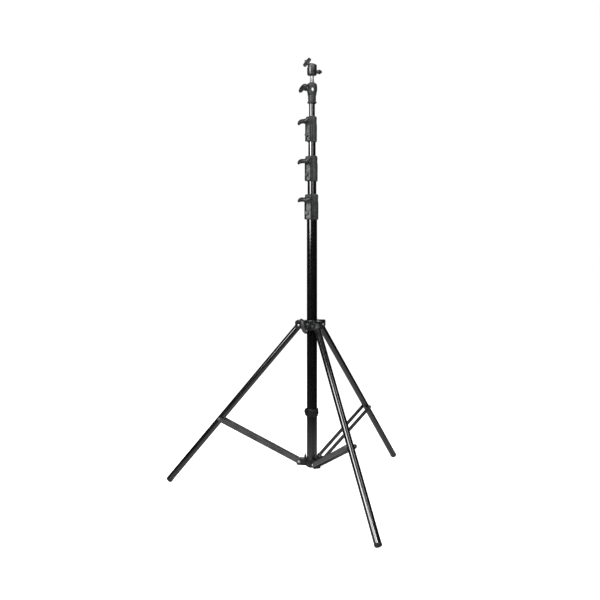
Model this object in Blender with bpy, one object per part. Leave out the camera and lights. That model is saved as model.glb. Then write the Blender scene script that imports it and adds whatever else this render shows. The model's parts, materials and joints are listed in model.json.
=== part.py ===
"""Four-section light stand: folding three-leg base, three risers, spigot and small ball head.

Lengths are in metres and +Z is up. The origin lies on the column's axis, on the flat
underside of the column's end plug.
"""

import math

import bmesh
import bpy
from mathutils import Matrix, Vector

# Clearances and walls
GAP = 0.0003
TELESCOPE_GAP = 0.001
TUBE_WALL = 0.0015
SIDES = 20
LEG_SIDES = 16
SMALL_SIDES = 12
PIN_SIDES = 8
SHARP_ANGLE = math.radians(32)
EDGE = 0.001
CAST_EDGE = 0.0015
CUT_SPARE = 0.002

# Column and telescoping risers
COLUMN_RADIUS = 0.0175
RISER_FOOT_STEP = 0.070
SLIDE_BUSH_HEIGHT = 0.006
SLIDE_BUSH_PLUG = 0.010
PLUG_FLANGE = 0.003
PLUG_DEPTH = 0.015
PLUG_WALL = 0.003

# Clamp collars, one at the top of the column and of each of the first two risers
COLLAR_BASE = 0.832
COLLAR_HEIGHT = 0.0857
COLLAR_SPACES = (0.0432, 0.0475, 0.0425)
COLLAR_SEAT = 0.044
COLLAR_WALL = 0.004
COLLAR_LIP = 0.006
COLLAR_SLIT = 0.002
CLAMP_AZIMUTHS = tuple(math.radians(angle) for angle in (-125, -131, -137))
PAD_REACH = 0.0098
PAD_HALF_WIDTHS = (0.0130, 0.0120, 0.0110)
CLAMP_HEIGHT = 0.065
BOLT_HEIGHT = 0.0215
BOSS_RADIUS = 0.0092
BOSS_PROUD = 0.0030
BOLT_RADIUS = 0.003
BOLT_HEAD_RADIUS = 0.0058
BOLT_HEAD_HEIGHT = 0.0042

# Clamp screws and their tee handles
SCREW_RADIUS = 0.004
WASHER_RADIUS = 0.0082
WASHER_THICKNESS = 0.0016
HANDLE_REACH = 0.015
HANDLE_HALF_LENGTH = 0.026
HANDLE_HUB_RADIUS = 0.0083
HANDLE_THICKNESS = 0.0058
HANDLE_WIDTH = 0.0066
HANDLE_BOW = -0.0030
HANDLE_SWEEP = 0.0030
HANDLE_TURNS = tuple(math.radians(angle) for angle in (-80, -76, -74))

# Three-leg base: pivots and links
LEG_AZIMUTHS = tuple(math.radians(angle) for angle in (-70, 50, 170))
HUB_PIVOT_RADIUS = 0.043
HUB_PIVOT_HEIGHT = 0.4767
SPIDER_PIVOT_RADIUS = 0.0423
SPIDER_PIVOT_HEIGHT = 0.0175
BRACE_ON_LEG = 0.4287
BRACE_LENGTH = 0.3063

# Legs
LEG_RADIUS = 0.011
LEG_LENGTH = 0.7202
LEG_TUBE_START = 0.0145
LEG_PLUG_DEPTH = 0.028
FOOT_RADIUS = 0.0114
FOOT_CAP = 0.0075
FOOT_ROUNDING = 0.004
FOOT_PLUG = 0.020
LEG_PIN_RADIUS = 0.0035

# Braces: flat bars on both sides of each leg
BAR_HALF_HEIGHT = 0.007
BAR_THICKNESS = 0.0025
BAR_SIDE_AT_SPIDER = 0.0119
BAR_SIDE_AT_LEG = 0.01375
BRACE_PIN_RADIUS = 0.003
PIN_HEAD_RADIUS = 0.0044
SPACER_RADIUS = 0.005
PIN_HEAD_HEIGHT = 0.0024

# Spider, fixed at the foot of the column
SPIDER_WALL = 0.004
SPIDER_BELOW = 0.0140
SPIDER_ABOVE = 0.0110
LUG_HALF_WIDTH = 0.0115
LUG_END = 0.009
LUG_ABOVE = 0.0100
LUG_BELOW = 0.0122
LUG_CORNER = 0.005
LUG_POCKET_WALL = 0.004
FIN_HEIGHT = 0.0145
FIN_THICKNESS = 0.0025
FIN_SIDE = 0.008

# Stop ring on the column under the hub, with a lobe under each fork
RING_HEIGHT = 0.170
RING_TALL = 0.026
RING_WALL = 0.0028
RING_LOBE_REACH = 0.0250
RING_LOBE_HALF_WIDTH = 0.008
RING_SCREW_AZIMUTH = math.radians(-10)

# Hub that slides on the column and carries the legs
HUB_WALL = 0.0057
HUB_BELOW = 0.0165
HUB_ABOVE = 0.0175
FORK_GAP = 0.0004
FORK_CHEEK = 0.004
FORK_END_RADIUS = 0.0125
FORK_WEB = 0.0045
HUB_CLAMP_AZIMUTH = math.radians(-130)
HUB_BOX_REACH = 0.027
HUB_BOX_HALF_WIDTH = 0.015
HUB_BOSS_REACH = 0.030
HUB_GROOVE_SIDE = 0.0113
HUB_GROOVE_WIDTH = 0.0014
HUB_GROOVE_DEPTH = 0.001

# Top casting with its cross slot
RECEIVER_TALL = 0.0715
RECEIVER_SEAT = 0.0235
RECEIVER_RADIUS = 0.0178
RECEIVER_NECK_RADIUS = 0.0132
RECEIVER_FLANGE_RADIUS = 0.0162
RECEIVER_CLAMP_AZIMUTH = math.radians(-155)
RECEIVER_BOSS_REACH = 0.019
RECEIVER_HANDLE_TURN = math.radians(-66)
SLOT_HEIGHT = 0.050
SLOT_TALL = 0.0168
SLOT_WIDE = 0.0066
SLOT_OFFSET = 0.002

# Spigot
SPIGOT_BASE_RADIUS = 0.0079
SPIGOT_BASE_TALL = 0.006
SPIGOT_RADIUS = 0.00675
SPIGOT_TALL = 0.0234
STUD_RADIUS = 0.004
STUD_DEPTH = 0.009

# Ball head
HEAD_RADIUS = 0.0165
HEAD_TALL = 0.0398
HEAD_GROOVE_HEIGHT = 0.0072
BALL_RADIUS = 0.0115
BALL_HEIGHT = 0.0316
BALL_TILT = math.radians(49.6)
STEM_RADIUS = 0.0045
NOTCH_HALF_WIDTH = 0.0075
PLATFORM_RADIUS = 0.017
PLATFORM_START = 0.017
LOCK_RING_THICKNESS = 0.004
PLATFORM_THICKNESS = 0.005
STEM_IN_PLATFORM = 0.0027
CAMERA_SCREW_RADIUS = 0.00315
CAMERA_SCREW_PROUD = 0.0065
WING_HEIGHT = 0.0132
WING_SCREW_RADIUS = 0.003
WING_SCREW_DEPTH = 0.009
WING_HUB_RADIUS = 0.0053
WING_HUB_TALL = 0.008
WING_REACH = 0.0165
WING_HALF_LENGTH = 0.0078
WING_THICKNESS = 0.0056
WING_TURN = math.radians(25)

# Values that follow from those above
RISER_RADII = tuple(COLUMN_RADIUS - step * (TUBE_WALL + TELESCOPE_GAP) for step in (1, 2, 3))
TUBE_RADII = (COLUMN_RADIUS,) + RISER_RADII
LINK_DISTANCE = math.hypot(HUB_PIVOT_RADIUS - SPIDER_PIVOT_RADIUS, HUB_PIVOT_HEIGHT - SPIDER_PIVOT_HEIGHT)
LINK_TILT = math.atan2(SPIDER_PIVOT_RADIUS - HUB_PIVOT_RADIUS, HUB_PIVOT_HEIGHT - SPIDER_PIVOT_HEIGHT)
LEG_ANGLE = LINK_TILT + math.acos(
    (BRACE_ON_LEG ** 2 + LINK_DISTANCE ** 2 - BRACE_LENGTH ** 2) / (2 * BRACE_ON_LEG * LINK_DISTANCE))
BRACE_RUN = HUB_PIVOT_RADIUS + BRACE_ON_LEG * math.sin(LEG_ANGLE) - SPIDER_PIVOT_RADIUS
BRACE_RISE = HUB_PIVOT_HEIGHT - BRACE_ON_LEG * math.cos(LEG_ANGLE) - SPIDER_PIVOT_HEIGHT
BRACE_ELEVATION = math.atan2(BRACE_RISE, BRACE_RUN)
LUG_OUTSIDE = BAR_SIDE_AT_SPIDER + BAR_THICKNESS
FORK_INSIDE = LEG_RADIUS + FORK_GAP
FORK_OUTSIDE = FORK_INSIDE + FORK_CHEEK


def collar_bottom(index):
    """Height of collar 0, 1 or 2, or of the top casting for index 3."""
    return COLLAR_BASE + index * COLLAR_HEIGHT + sum(COLLAR_SPACES[:index])


def clear_scene():
    for thing in list(bpy.data.objects):
        bpy.data.objects.remove(thing, do_unlink=True)


def make_material(name, colour, roughness, metallic):
    material = bpy.data.materials.new(name)
    material.use_nodes = True
    shader = material.node_tree.nodes["Principled BSDF"]
    shader.inputs["Base Color"].default_value = (*colour, 1.0)
    shader.inputs["Roughness"].default_value = roughness
    shader.inputs["Metallic"].default_value = metallic
    return material


def tube_finish(name):
    return make_material(name + "_anodised", (0.012, 0.012, 0.014), 0.25, 0.6)


def leg_finish(name):
    return make_material(name + "_painted", (0.022, 0.022, 0.024), 0.32, 0.3)


def casting_finish(name):
    return make_material(name + "_casting", (0.060, 0.062, 0.064), 0.45, 0.5)


def moulded_finish(name):
    return make_material(name + "_moulded", (0.030, 0.030, 0.032), 0.50, 0.0)


def bush_finish(name):
    return make_material(name + "_nylon", (0.020, 0.020, 0.020), 0.60, 0.0)


def rubber_finish(name):
    return make_material(name + "_rubber", (0.012, 0.012, 0.012), 0.85, 0.0)


def steel_finish(name):
    return make_material(name + "_steel", (0.62, 0.62, 0.60), 0.25, 1.0)


def bar_finish(name):
    return make_material(name + "_bar", (0.050, 0.050, 0.052), 0.40, 0.5)


def make_frame(name, location, rotation=(0.0, 0.0, 0.0), parent=None):
    """An empty on a joint's axis, which carries the pieces that move about it."""
    frame = bpy.data.objects.new(name, None)
    frame.location = location
    frame.rotation_euler = rotation
    frame.parent = parent
    bpy.context.collection.objects.link(frame)
    return frame


def add_piece(name, shape, parent=None, location=(0.0, 0.0, 0.0), turn=(0.0, 0.0, 0.0)):
    mesh = bpy.data.meshes.new(name)
    shape.to_mesh(mesh)
    shape.free()
    mesh.shade_smooth()
    mesh.set_sharp_from_angle(angle=SHARP_ANGLE)
    piece = bpy.data.objects.new(name, mesh)
    piece.parent = parent
    piece.location = location
    piece.rotation_euler = turn
    bpy.context.collection.objects.link(piece)
    return piece


def add_body(name, shape, finish, solver="EXACT", **place):
    """A visible piece. Castings whose many cuts meet each other take the MANIFOLD solver."""
    piece = add_piece(name, shape, **place)
    piece.data.materials.append(finish(name))
    piece["solver"] = solver
    return piece


def combine(piece, shape, operation, chamfer=0.0):
    """Join a hidden shape to a piece, or cut it out, in the piece's own frame."""
    tool = add_piece(piece.name + "_" + operation.lower(), shape, piece.parent, piece.location,
                     piece.rotation_euler)
    if chamfer:
        bevel = tool.modifiers.new("chamfer", "BEVEL")
        bevel.width = chamfer
        bevel.segments = 1
        bevel.limit_method = "ANGLE"
        bevel.angle_limit = math.radians(40)
    tool.hide_render = True
    tool.display_type = "WIRE"
    boolean = piece.modifiers.new(tool.name, "BOOLEAN")
    boolean.object = tool
    boolean.operation = operation
    boolean.solver = piece["solver"]


def unite(piece, shape, chamfer=0.0):
    combine(piece, shape, "UNION", chamfer)


def cut(piece, shape):
    combine(piece, shape, "DIFFERENCE")


def lathe(outline, sides=SIDES):
    """Turn a closed outline of (radius, height) points about Z."""
    shape = bmesh.new()
    points = [shape.verts.new((radius, 0.0, height)) for radius, height in outline]
    edges = [shape.edges.new((points[i - 1], points[i])) for i in range(len(points))]
    bmesh.ops.spin(shape, geom=points + edges, cent=(0, 0, 0), axis=(0, 0, 1), dvec=(0, 0, 0),
                   angle=math.tau, steps=sides, use_merge=True)
    bmesh.ops.remove_doubles(shape, verts=shape.verts, dist=1e-6)
    loose = [edge for edge in shape.edges if not edge.link_faces]
    bmesh.ops.delete(shape, geom=loose, context="EDGES")
    bmesh.ops.recalc_face_normals(shape, faces=shape.faces)
    return shape


def rod(radius, start, end, sides=SMALL_SIDES):
    return lathe([(0, start), (radius, start), (radius, end), (0, end)], sides)


def ring(inner, outer, start, end, sides=SIDES):
    return lathe([(inner, start), (outer, start), (outer, end), (inner, end)], sides)


def along_x(shape):
    """Lay a shape that was turned about Z along +X."""
    shape.transform(Matrix.Rotation(math.pi / 2, 4, "Y"))
    return shape


def along_y(shape):
    """Lay a shape that was turned about Z along +Y."""
    shape.transform(Matrix.Rotation(-math.pi / 2, 4, "X"))
    return shape


def moved(shape, x=0.0, y=0.0, z=0.0):
    shape.transform(Matrix.Translation((x, y, z)))
    return shape


def plate(outline, half_width, offset=0.0):
    """A side outline of (x, z) points, made thick along Y on both sides of the offset."""
    shape = bmesh.new()
    points = [shape.verts.new((x, offset - half_width, z)) for x, z in outline]
    face = shape.faces.new(points)
    grown = bmesh.ops.extrude_face_region(shape, geom=[face])
    far = [item for item in grown["geom"] if isinstance(item, bmesh.types.BMVert)]
    bmesh.ops.translate(shape, verts=far, vec=(0, 2 * half_width, 0))
    bmesh.ops.recalc_face_normals(shape, faces=shape.faces)
    return shape


def block(x_range, y_range, z_range):
    outline = [(x_range[0], z_range[0]), (x_range[1], z_range[0]),
               (x_range[1], z_range[1]), (x_range[0], z_range[1])]
    return plate(outline, (y_range[1] - y_range[0]) / 2, (y_range[0] + y_range[1]) / 2)


def arc(centre, radius, start, end, steps):
    """Points on an arc, with angles in degrees from +X."""
    points = []
    for i in range(steps + 1):
        angle = math.radians(start + (end - start) * i / steps)
        points.append((centre[0] + radius * math.cos(angle), centre[1] + radius * math.sin(angle)))
    return points


def gather(shapes):
    """Several separate shapes in one mesh."""
    whole = bmesh.new()
    for shape in shapes:
        mesh = bpy.data.meshes.new("part_of_shape")
        shape.to_mesh(mesh)
        shape.free()
        whole.from_mesh(mesh)
        bpy.data.meshes.remove(mesh)
    return whole


def build_pins(name, frame, pivot_radius, radius, side):
    """One pin at each leg's azimuth, each with its own frame on the pivot."""
    for number, azimuth in enumerate(LEG_AZIMUTHS, start=1):
        place = (pivot_radius * math.cos(azimuth), pivot_radius * math.sin(azimuth), 0)
        add_body("%s_%d" % (name, number), pin_with_heads(radius, side), steel_finish,
                 parent=frame, location=place, turn=(0, 0, azimuth))


def at_each_leg(make_shape):
    """One copy of a shape turned to each leg's azimuth."""
    shapes = []
    for azimuth in LEG_AZIMUTHS:
        shape = make_shape()
        shape.transform(Matrix.Rotation(azimuth, 4, "Z"))
        shapes.append(shape)
    return gather(shapes)


def turned(shape, azimuth):
    shape.transform(Matrix.Rotation(azimuth, 4, "Z"))
    return shape


def pin_with_heads(radius, side, head_radius=PIN_HEAD_RADIUS, head_height=PIN_HEAD_HEIGHT):
    """A pin along Y with a low domed head beyond each side."""
    near = side + GAP
    top = near + head_height
    outline = [(0, -top), (head_radius * 0.8, -top), (head_radius, -near), (radius, -near),
               (radius, near), (head_radius, near), (head_radius * 0.8, top), (0, top)]
    return along_y(lathe(outline, PIN_SIDES))


def build_column():
    top = collar_bottom(0) + COLLAR_SEAT
    inner = COLUMN_RADIUS - TUBE_WALL
    add_body("column_tube", ring(inner, COLUMN_RADIUS, PLUG_FLANGE + GAP, top), tube_finish)
    flange = COLUMN_RADIUS - TUBE_WALL / 2
    body = inner - GAP
    outline = [(0, 0), (flange, 0), (flange, PLUG_FLANGE), (body, PLUG_FLANGE),
               (body, PLUG_FLANGE + PLUG_DEPTH), (body - PLUG_WALL, PLUG_FLANGE + PLUG_DEPTH),
               (body - PLUG_WALL, PLUG_FLANGE), (0, PLUG_FLANGE)]
    add_body("column_end_plug", lathe(outline, LEG_SIDES), moulded_finish)


def lug_outline():
    root = COLUMN_RADIUS + SPIDER_WALL / 2
    middle = SPIDER_PIVOT_RADIUS + LUG_END - LUG_CORNER
    outline = [(root, -LUG_BELOW)]
    outline += arc((middle, LUG_CORNER - LUG_BELOW), LUG_CORNER, -90, 0, 3)
    outline += arc((middle, LUG_ABOVE - LUG_CORNER), LUG_CORNER, 0, 90, 3)
    outline.append((root, LUG_ABOVE))
    return outline


def spider_fin(side):
    root = COLUMN_RADIUS + SPIDER_WALL / 2
    outline = [(root, LUG_ABOVE - 0.001), (root + 0.0075, LUG_ABOVE - 0.001),
               (root + 0.0045, LUG_ABOVE + FIN_HEIGHT), (root + 0.0035, LUG_ABOVE + FIN_HEIGHT)]
    return plate(outline, FIN_THICKNESS / 2, side)


def lug_pocket():
    """The hollow under each lug, as die casting leaves it."""
    return block((COLUMN_RADIUS + SPIDER_WALL + 0.002, SPIDER_PIVOT_RADIUS - BRACE_PIN_RADIUS - LUG_POCKET_WALL),
                 (-LUG_HALF_WIDTH + LUG_POCKET_WALL, LUG_HALF_WIDTH - LUG_POCKET_WALL),
                 (-2 * LUG_BELOW, LUG_ABOVE - LUG_POCKET_WALL))


def build_spider():
    bore = COLUMN_RADIUS + GAP
    outside = COLUMN_RADIUS + SPIDER_WALL
    outline = [(0, -SPIDER_BELOW), (outside - 0.0015, -SPIDER_BELOW), (outside, -SPIDER_BELOW + 0.0015),
               (outside, SPIDER_ABOVE - 0.001), (outside - 0.001, SPIDER_ABOVE), (0, SPIDER_ABOVE)]
    frame = make_frame("spider_level", (0, 0, SPIDER_PIVOT_HEIGHT))
    spider = add_body("spider", lathe(outline), casting_finish, "MANIFOLD", parent=frame)
    unite(spider, at_each_leg(lambda: plate(lug_outline(), LUG_HALF_WIDTH)), 0.001)
    unite(spider, at_each_leg(lambda: gather([spider_fin(-FIN_SIDE), spider_fin(FIN_SIDE)])))
    cut(spider, at_each_leg(lug_pocket))
    hole_reach = LUG_HALF_WIDTH + 0.001
    cut(spider, at_each_leg(lambda: moved(
        along_y(rod(BRACE_PIN_RADIUS + GAP, -hole_reach, hole_reach)), x=SPIDER_PIVOT_RADIUS)))
    cut(spider, rod(bore, -SPIDER_BELOW - 0.001, SPIDER_ABOVE + 0.001, SIDES))
    build_pins("spider_pin", frame, SPIDER_PIVOT_RADIUS, BRACE_PIN_RADIUS, LUG_OUTSIDE)


def ring_lobe():
    root = COLUMN_RADIUS + RING_WALL / 2
    outline = [(root, RING_TALL * 0.08), (root + 0.0022, RING_TALL * 0.08), (RING_LOBE_REACH, RING_TALL * 0.54),
               (RING_LOBE_REACH, RING_TALL * 0.80), (root + 0.0035, RING_TALL * 0.96), (root, RING_TALL * 0.96)]
    return plate(outline, RING_LOBE_HALF_WIDTH)


def build_stop_ring():
    outside = COLUMN_RADIUS + RING_WALL
    outline = [(0, 0), (outside - 0.0015, 0), (outside, 0.004), (outside, RING_TALL - 0.003),
               (outside - 0.0012, RING_TALL), (0, RING_TALL)]
    frame = make_frame("stop_ring_level", (0, 0, RING_HEIGHT))
    stop_ring = add_body("hub_stop_ring", lathe(outline), casting_finish, "MANIFOLD", parent=frame)
    unite(stop_ring, at_each_leg(ring_lobe))
    boss_end = outside + 0.0015
    boss = moved(along_x(rod(BOLT_RADIUS * 2, COLUMN_RADIUS + RING_WALL / 2, boss_end)), z=RING_TALL / 2)
    unite(stop_ring, turned(boss, RING_SCREW_AZIMUTH))
    hole = moved(along_x(rod(BOLT_RADIUS + GAP, 0.005, boss_end + 0.001)), z=RING_TALL / 2)
    cut(stop_ring, turned(hole, RING_SCREW_AZIMUTH))
    cut(stop_ring, rod(COLUMN_RADIUS + GAP, -0.001, RING_TALL + 0.001, SIDES))
    grub = moved(along_x(rod(BOLT_RADIUS, COLUMN_RADIUS + GAP, boss_end - 0.0005)), z=RING_TALL / 2)
    add_body("hub_stop_ring_screw", turned(grub, RING_SCREW_AZIMUTH), steel_finish, parent=frame)


def tee_bar():
    """The grip of a tee handle, along Z: its two arms sweep opposite ways and hook in at their ends."""
    shape = bmesh.new()
    sides = 8
    loops = []
    for share in (-1.0, -0.92, -0.6, -0.3, 0.0, 0.3, 0.6, 0.92, 1.0):
        taper = (1 - 0.2 * share ** 2) * math.sqrt(1 - 0.72 * share ** 16)
        centre = HANDLE_REACH + HANDLE_BOW * share ** 2
        sweep = HANDLE_SWEEP * math.sin(math.pi * share)
        loop = []
        for i in range(sides):
            angle = math.tau * i / sides
            loop.append(shape.verts.new((centre + HANDLE_THICKNESS * taper * math.cos(angle),
                                         sweep + HANDLE_WIDTH * taper * math.sin(angle),
                                         HANDLE_HALF_LENGTH * share)))
        loops.append(loop)
    for lower, upper in zip(loops, loops[1:]):
        for i in range(sides):
            shape.faces.new((lower[i - 1], lower[i], upper[i], upper[i - 1]))
    shape.faces.new(loops[0])
    shape.faces.new(loops[-1])
    bmesh.ops.recalc_face_normals(shape, faces=shape.faces)
    return shape


def build_clamp(name, level, azimuth, tip, seat, turn, parent=None):
    """A tee handle with its clamp screw moulded in; the screw's washer face rests on the seat."""
    frame = make_frame(name + "_axis", (0, 0, level), (0, 0, azimuth), parent)
    face = seat + GAP
    hub = face + WASHER_THICKNESS
    start = tip + GAP
    outline = [(0, start), (SCREW_RADIUS, start), (SCREW_RADIUS, face), (WASHER_RADIUS, face),
               (WASHER_RADIUS, hub), (HANDLE_HUB_RADIUS, hub), (HANDLE_HUB_RADIUS, hub + 0.003),
               (HANDLE_HUB_RADIUS * 0.7, hub + HANDLE_REACH), (0, hub + HANDLE_REACH)]
    knob = add_body(name + "_knob", moved(along_x(lathe(outline, SMALL_SIDES)), x=-hub), moulded_finish,
                    parent=frame, location=(hub, 0, 0), turn=(turn, 0, 0))
    unite(knob, tee_bar())
    return frame


def collar_outline(outside, slide_radius):
    return [(0, 0), (outside - 0.002, 0), (outside, 0.002), (outside + 0.0004, COLLAR_HEIGHT * 0.6),
            (slide_radius + 0.0058, COLLAR_HEIGHT - 0.0035),
            (slide_radius + 0.0040, COLLAR_HEIGHT), (0, COLLAR_HEIGHT)]


def collar_pad(index, reach, slide_radius):
    """The flat pad of the casting that the clamp screw and the fixing bolt stand on."""
    root = slide_radius * 0.6
    top = COLLAR_HEIGHT - 0.001
    outline = [(root, 0.0008), (reach - 0.0015, 0.0008), (reach, 0.0025), (reach, CLAMP_HEIGHT + 0.006),
               (slide_radius + 0.007, top), (root, top)]
    return plate(outline, PAD_HALF_WIDTHS[index])


def build_collar(index, parent=None):
    """Split clamp collar: a casting on the fixed tube, with a bush for the tube that slides."""
    name = "collar_%d" % (index + 1)
    fixed_radius = TUBE_RADII[index]
    slide_radius = TUBE_RADII[index + 1]
    bottom = collar_bottom(index)
    bore = fixed_radius + GAP
    outside = fixed_radius + COLLAR_WALL
    reach = fixed_radius + PAD_REACH
    frame = make_frame(name + "_level", (0, 0, bottom), (0, 0, CLAMP_AZIMUTHS[index]), parent)
    collar = add_body(name + "_body", lathe(collar_outline(outside, slide_radius)),
                      casting_finish, "MANIFOLD", parent=frame)
    unite(collar, collar_pad(index, reach, slide_radius), 0.0015)
    boss = moved(along_x(rod(BOSS_RADIUS, fixed_radius, reach + BOSS_PROUD)), z=CLAMP_HEIGHT)
    seat = moved(along_x(rod(BOLT_HEAD_RADIUS + 0.001, fixed_radius, reach + BOSS_PROUD, PIN_SIDES)), z=BOLT_HEIGHT)
    unite(collar, gather([boss, seat]))
    lip_radius = slide_radius + 3 * GAP
    shoulder = COLLAR_HEIGHT - COLLAR_LIP
    cut(collar, lathe([(0, -0.001), (bore, -0.001), (bore, shoulder), (lip_radius, shoulder),
                       (lip_radius, COLLAR_HEIGHT + 0.001), (0, COLLAR_HEIGHT + 0.001)]))
    screw_hole = moved(along_x(rod(SCREW_RADIUS + GAP, slide_radius * 0.6, reach + 0.004)), z=CLAMP_HEIGHT)
    bolt_hole = moved(along_x(rod(BOLT_RADIUS + GAP, slide_radius * 0.6, reach + 0.004, PIN_SIDES)), z=BOLT_HEIGHT)
    cut(collar, gather([screw_hole, bolt_hole]))
    slit = block((slide_radius * 0.6, fixed_radius + 0.010), (-COLLAR_SLIT / 2, COLLAR_SLIT / 2),
                 (-0.001, COLLAR_HEIGHT + 0.001))
    cut(collar, turned(slit, math.asin((PAD_HALF_WIDTHS[index] + COLLAR_SLIT) / outside)))

    bush = add_body(name + "_bush", ring(slide_radius + GAP, fixed_radius, COLLAR_SEAT + GAP, shoulder - GAP),
                    bush_finish, parent=frame)
    cut(bush, moved(along_x(rod(SCREW_RADIUS + 2 * GAP, slide_radius * 0.6, reach, PIN_SIDES)), z=CLAMP_HEIGHT))

    head = reach + BOSS_PROUD + GAP
    bolt = add_body(name + "_bolt", moved(along_x(rod(BOLT_HEAD_RADIUS, head, head + BOLT_HEAD_HEIGHT, 6)),
                                          z=BOLT_HEIGHT), steel_finish, parent=frame)
    unite(bolt, moved(along_x(rod(BOLT_RADIUS, fixed_radius + GAP, head + BOLT_HEAD_HEIGHT / 2, 8)), z=BOLT_HEIGHT))
    build_clamp(name, bottom + CLAMP_HEIGHT, CLAMP_AZIMUTHS[index], slide_radius, reach + BOSS_PROUD,
                HANDLE_TURNS[index], parent)


def build_riser(index):
    """Riser 1, 2 or 3 with the slide bush at its foot; index counts from 1."""
    name = "riser_%d" % index
    radius = TUBE_RADII[index]
    foot = index * RISER_FOOT_STEP
    seat = RECEIVER_SEAT if index == 3 else COLLAR_SEAT
    top = collar_bottom(index) + seat
    add_body(name + "_tube", ring(radius - TUBE_WALL, radius, foot, top), tube_finish)
    guide = radius + TELESCOPE_GAP - GAP
    body = radius - TUBE_WALL - GAP
    outline = [(body - 0.002, foot - SLIDE_BUSH_HEIGHT), (guide, foot - SLIDE_BUSH_HEIGHT), (guide, foot - GAP),
               (body, foot - GAP), (body, foot + SLIDE_BUSH_PLUG), (body - 0.002, foot + SLIDE_BUSH_PLUG)]
    add_body(name + "_slide_bush", lathe(outline, LEG_SIDES), bush_finish)


def fork_outline():
    outer = HUB_PIVOT_RADIUS + FORK_END_RADIUS
    corner = 6 * EDGE
    outline = [(COLUMN_RADIUS + HUB_WALL / 2, -HUB_BELOW), (COLUMN_RADIUS + HUB_WALL + EDGE, -HUB_BELOW)]
    outline += arc((HUB_PIVOT_RADIUS, 0), FORK_END_RADIUS, -115, 0, 5)
    outline += arc((outer - corner, HUB_ABOVE - EDGE - corner), corner, 0, 90, 2)
    outline.append((COLUMN_RADIUS + HUB_WALL / 2, HUB_ABOVE - EDGE))
    return outline


def fork_slot():
    """The room between a fork's cheeks, under its top web."""
    back = COLUMN_RADIUS + HUB_WALL + CUT_SPARE
    under_web = HUB_ABOVE - FORK_WEB
    front = HUB_PIVOT_RADIUS + 4 * EDGE
    beyond = HUB_PIVOT_RADIUS + 2 * FORK_END_RADIUS
    outline = [(back, -2 * HUB_BELOW), (beyond, -2 * HUB_BELOW), (beyond, 2 * HUB_ABOVE),
               (front, 2 * HUB_ABOVE), (front, under_web), (back, under_web)]
    return plate(outline, FORK_INSIDE)


def hub_box():
    """The square boss that backs the hub's clamp screw."""
    return block((COLUMN_RADIUS + CUT_SPARE, HUB_BOX_REACH), (-HUB_BOX_HALF_WIDTH, HUB_BOX_HALF_WIDTH),
                 (-HUB_BELOW + 2 * EDGE, HUB_ABOVE - 4 * EDGE))


def hub_grooves():
    grooves = []
    for middle in (-HUB_GROOVE_SIDE, HUB_GROOVE_SIDE):
        grooves.append(block((HUB_BOX_REACH - HUB_GROOVE_DEPTH, HUB_BOX_REACH + HUB_GROOVE_DEPTH),
                             (middle - HUB_GROOVE_WIDTH / 2, middle + HUB_GROOVE_WIDTH / 2),
                             (-HUB_BELOW, HUB_ABOVE)))
    return gather(grooves)


def build_hub():
    outside = COLUMN_RADIUS + HUB_WALL
    outline = [(0, -HUB_BELOW), (outside - EDGE, -HUB_BELOW), (outside, -HUB_BELOW + EDGE),
               (outside, HUB_ABOVE - CAST_EDGE), (outside - CAST_EDGE, HUB_ABOVE), (0, HUB_ABOVE)]
    frame = make_frame("hub_level", (0, 0, HUB_PIVOT_HEIGHT))
    hub = add_body("hub_body", lathe(outline), casting_finish, "MANIFOLD", parent=frame)
    unite(hub, at_each_leg(lambda: plate(fork_outline(), FORK_OUTSIDE)), EDGE)
    unite(hub, turned(hub_box(), HUB_CLAMP_AZIMUTH), CAST_EDGE)
    unite(hub, turned(along_x(rod(BOSS_RADIUS, COLUMN_RADIUS + CUT_SPARE, HUB_BOSS_REACH)), HUB_CLAMP_AZIMUTH))
    cut(hub, at_each_leg(fork_slot))
    cut(hub, turned(hub_grooves(), HUB_CLAMP_AZIMUTH))
    hole_reach = FORK_OUTSIDE + CUT_SPARE
    cut(hub, at_each_leg(lambda: moved(
        along_y(rod(LEG_PIN_RADIUS + GAP, -hole_reach, hole_reach)), x=HUB_PIVOT_RADIUS)))
    screw_hole = along_x(rod(SCREW_RADIUS + GAP, COLUMN_RADIUS / 2, HUB_BOSS_REACH + CUT_SPARE))
    cut(hub, turned(screw_hole, HUB_CLAMP_AZIMUTH))
    cut(hub, rod(COLUMN_RADIUS + GAP, -HUB_BELOW - CUT_SPARE, HUB_ABOVE + CUT_SPARE, SIDES))
    build_pins("hub_pin", frame, HUB_PIVOT_RADIUS, LEG_PIN_RADIUS, FORK_OUTSIDE)
    build_clamp("hub", 0, HUB_CLAMP_AZIMUTH, COLUMN_RADIUS, HUB_BOSS_REACH, math.radians(28.7), frame)


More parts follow.
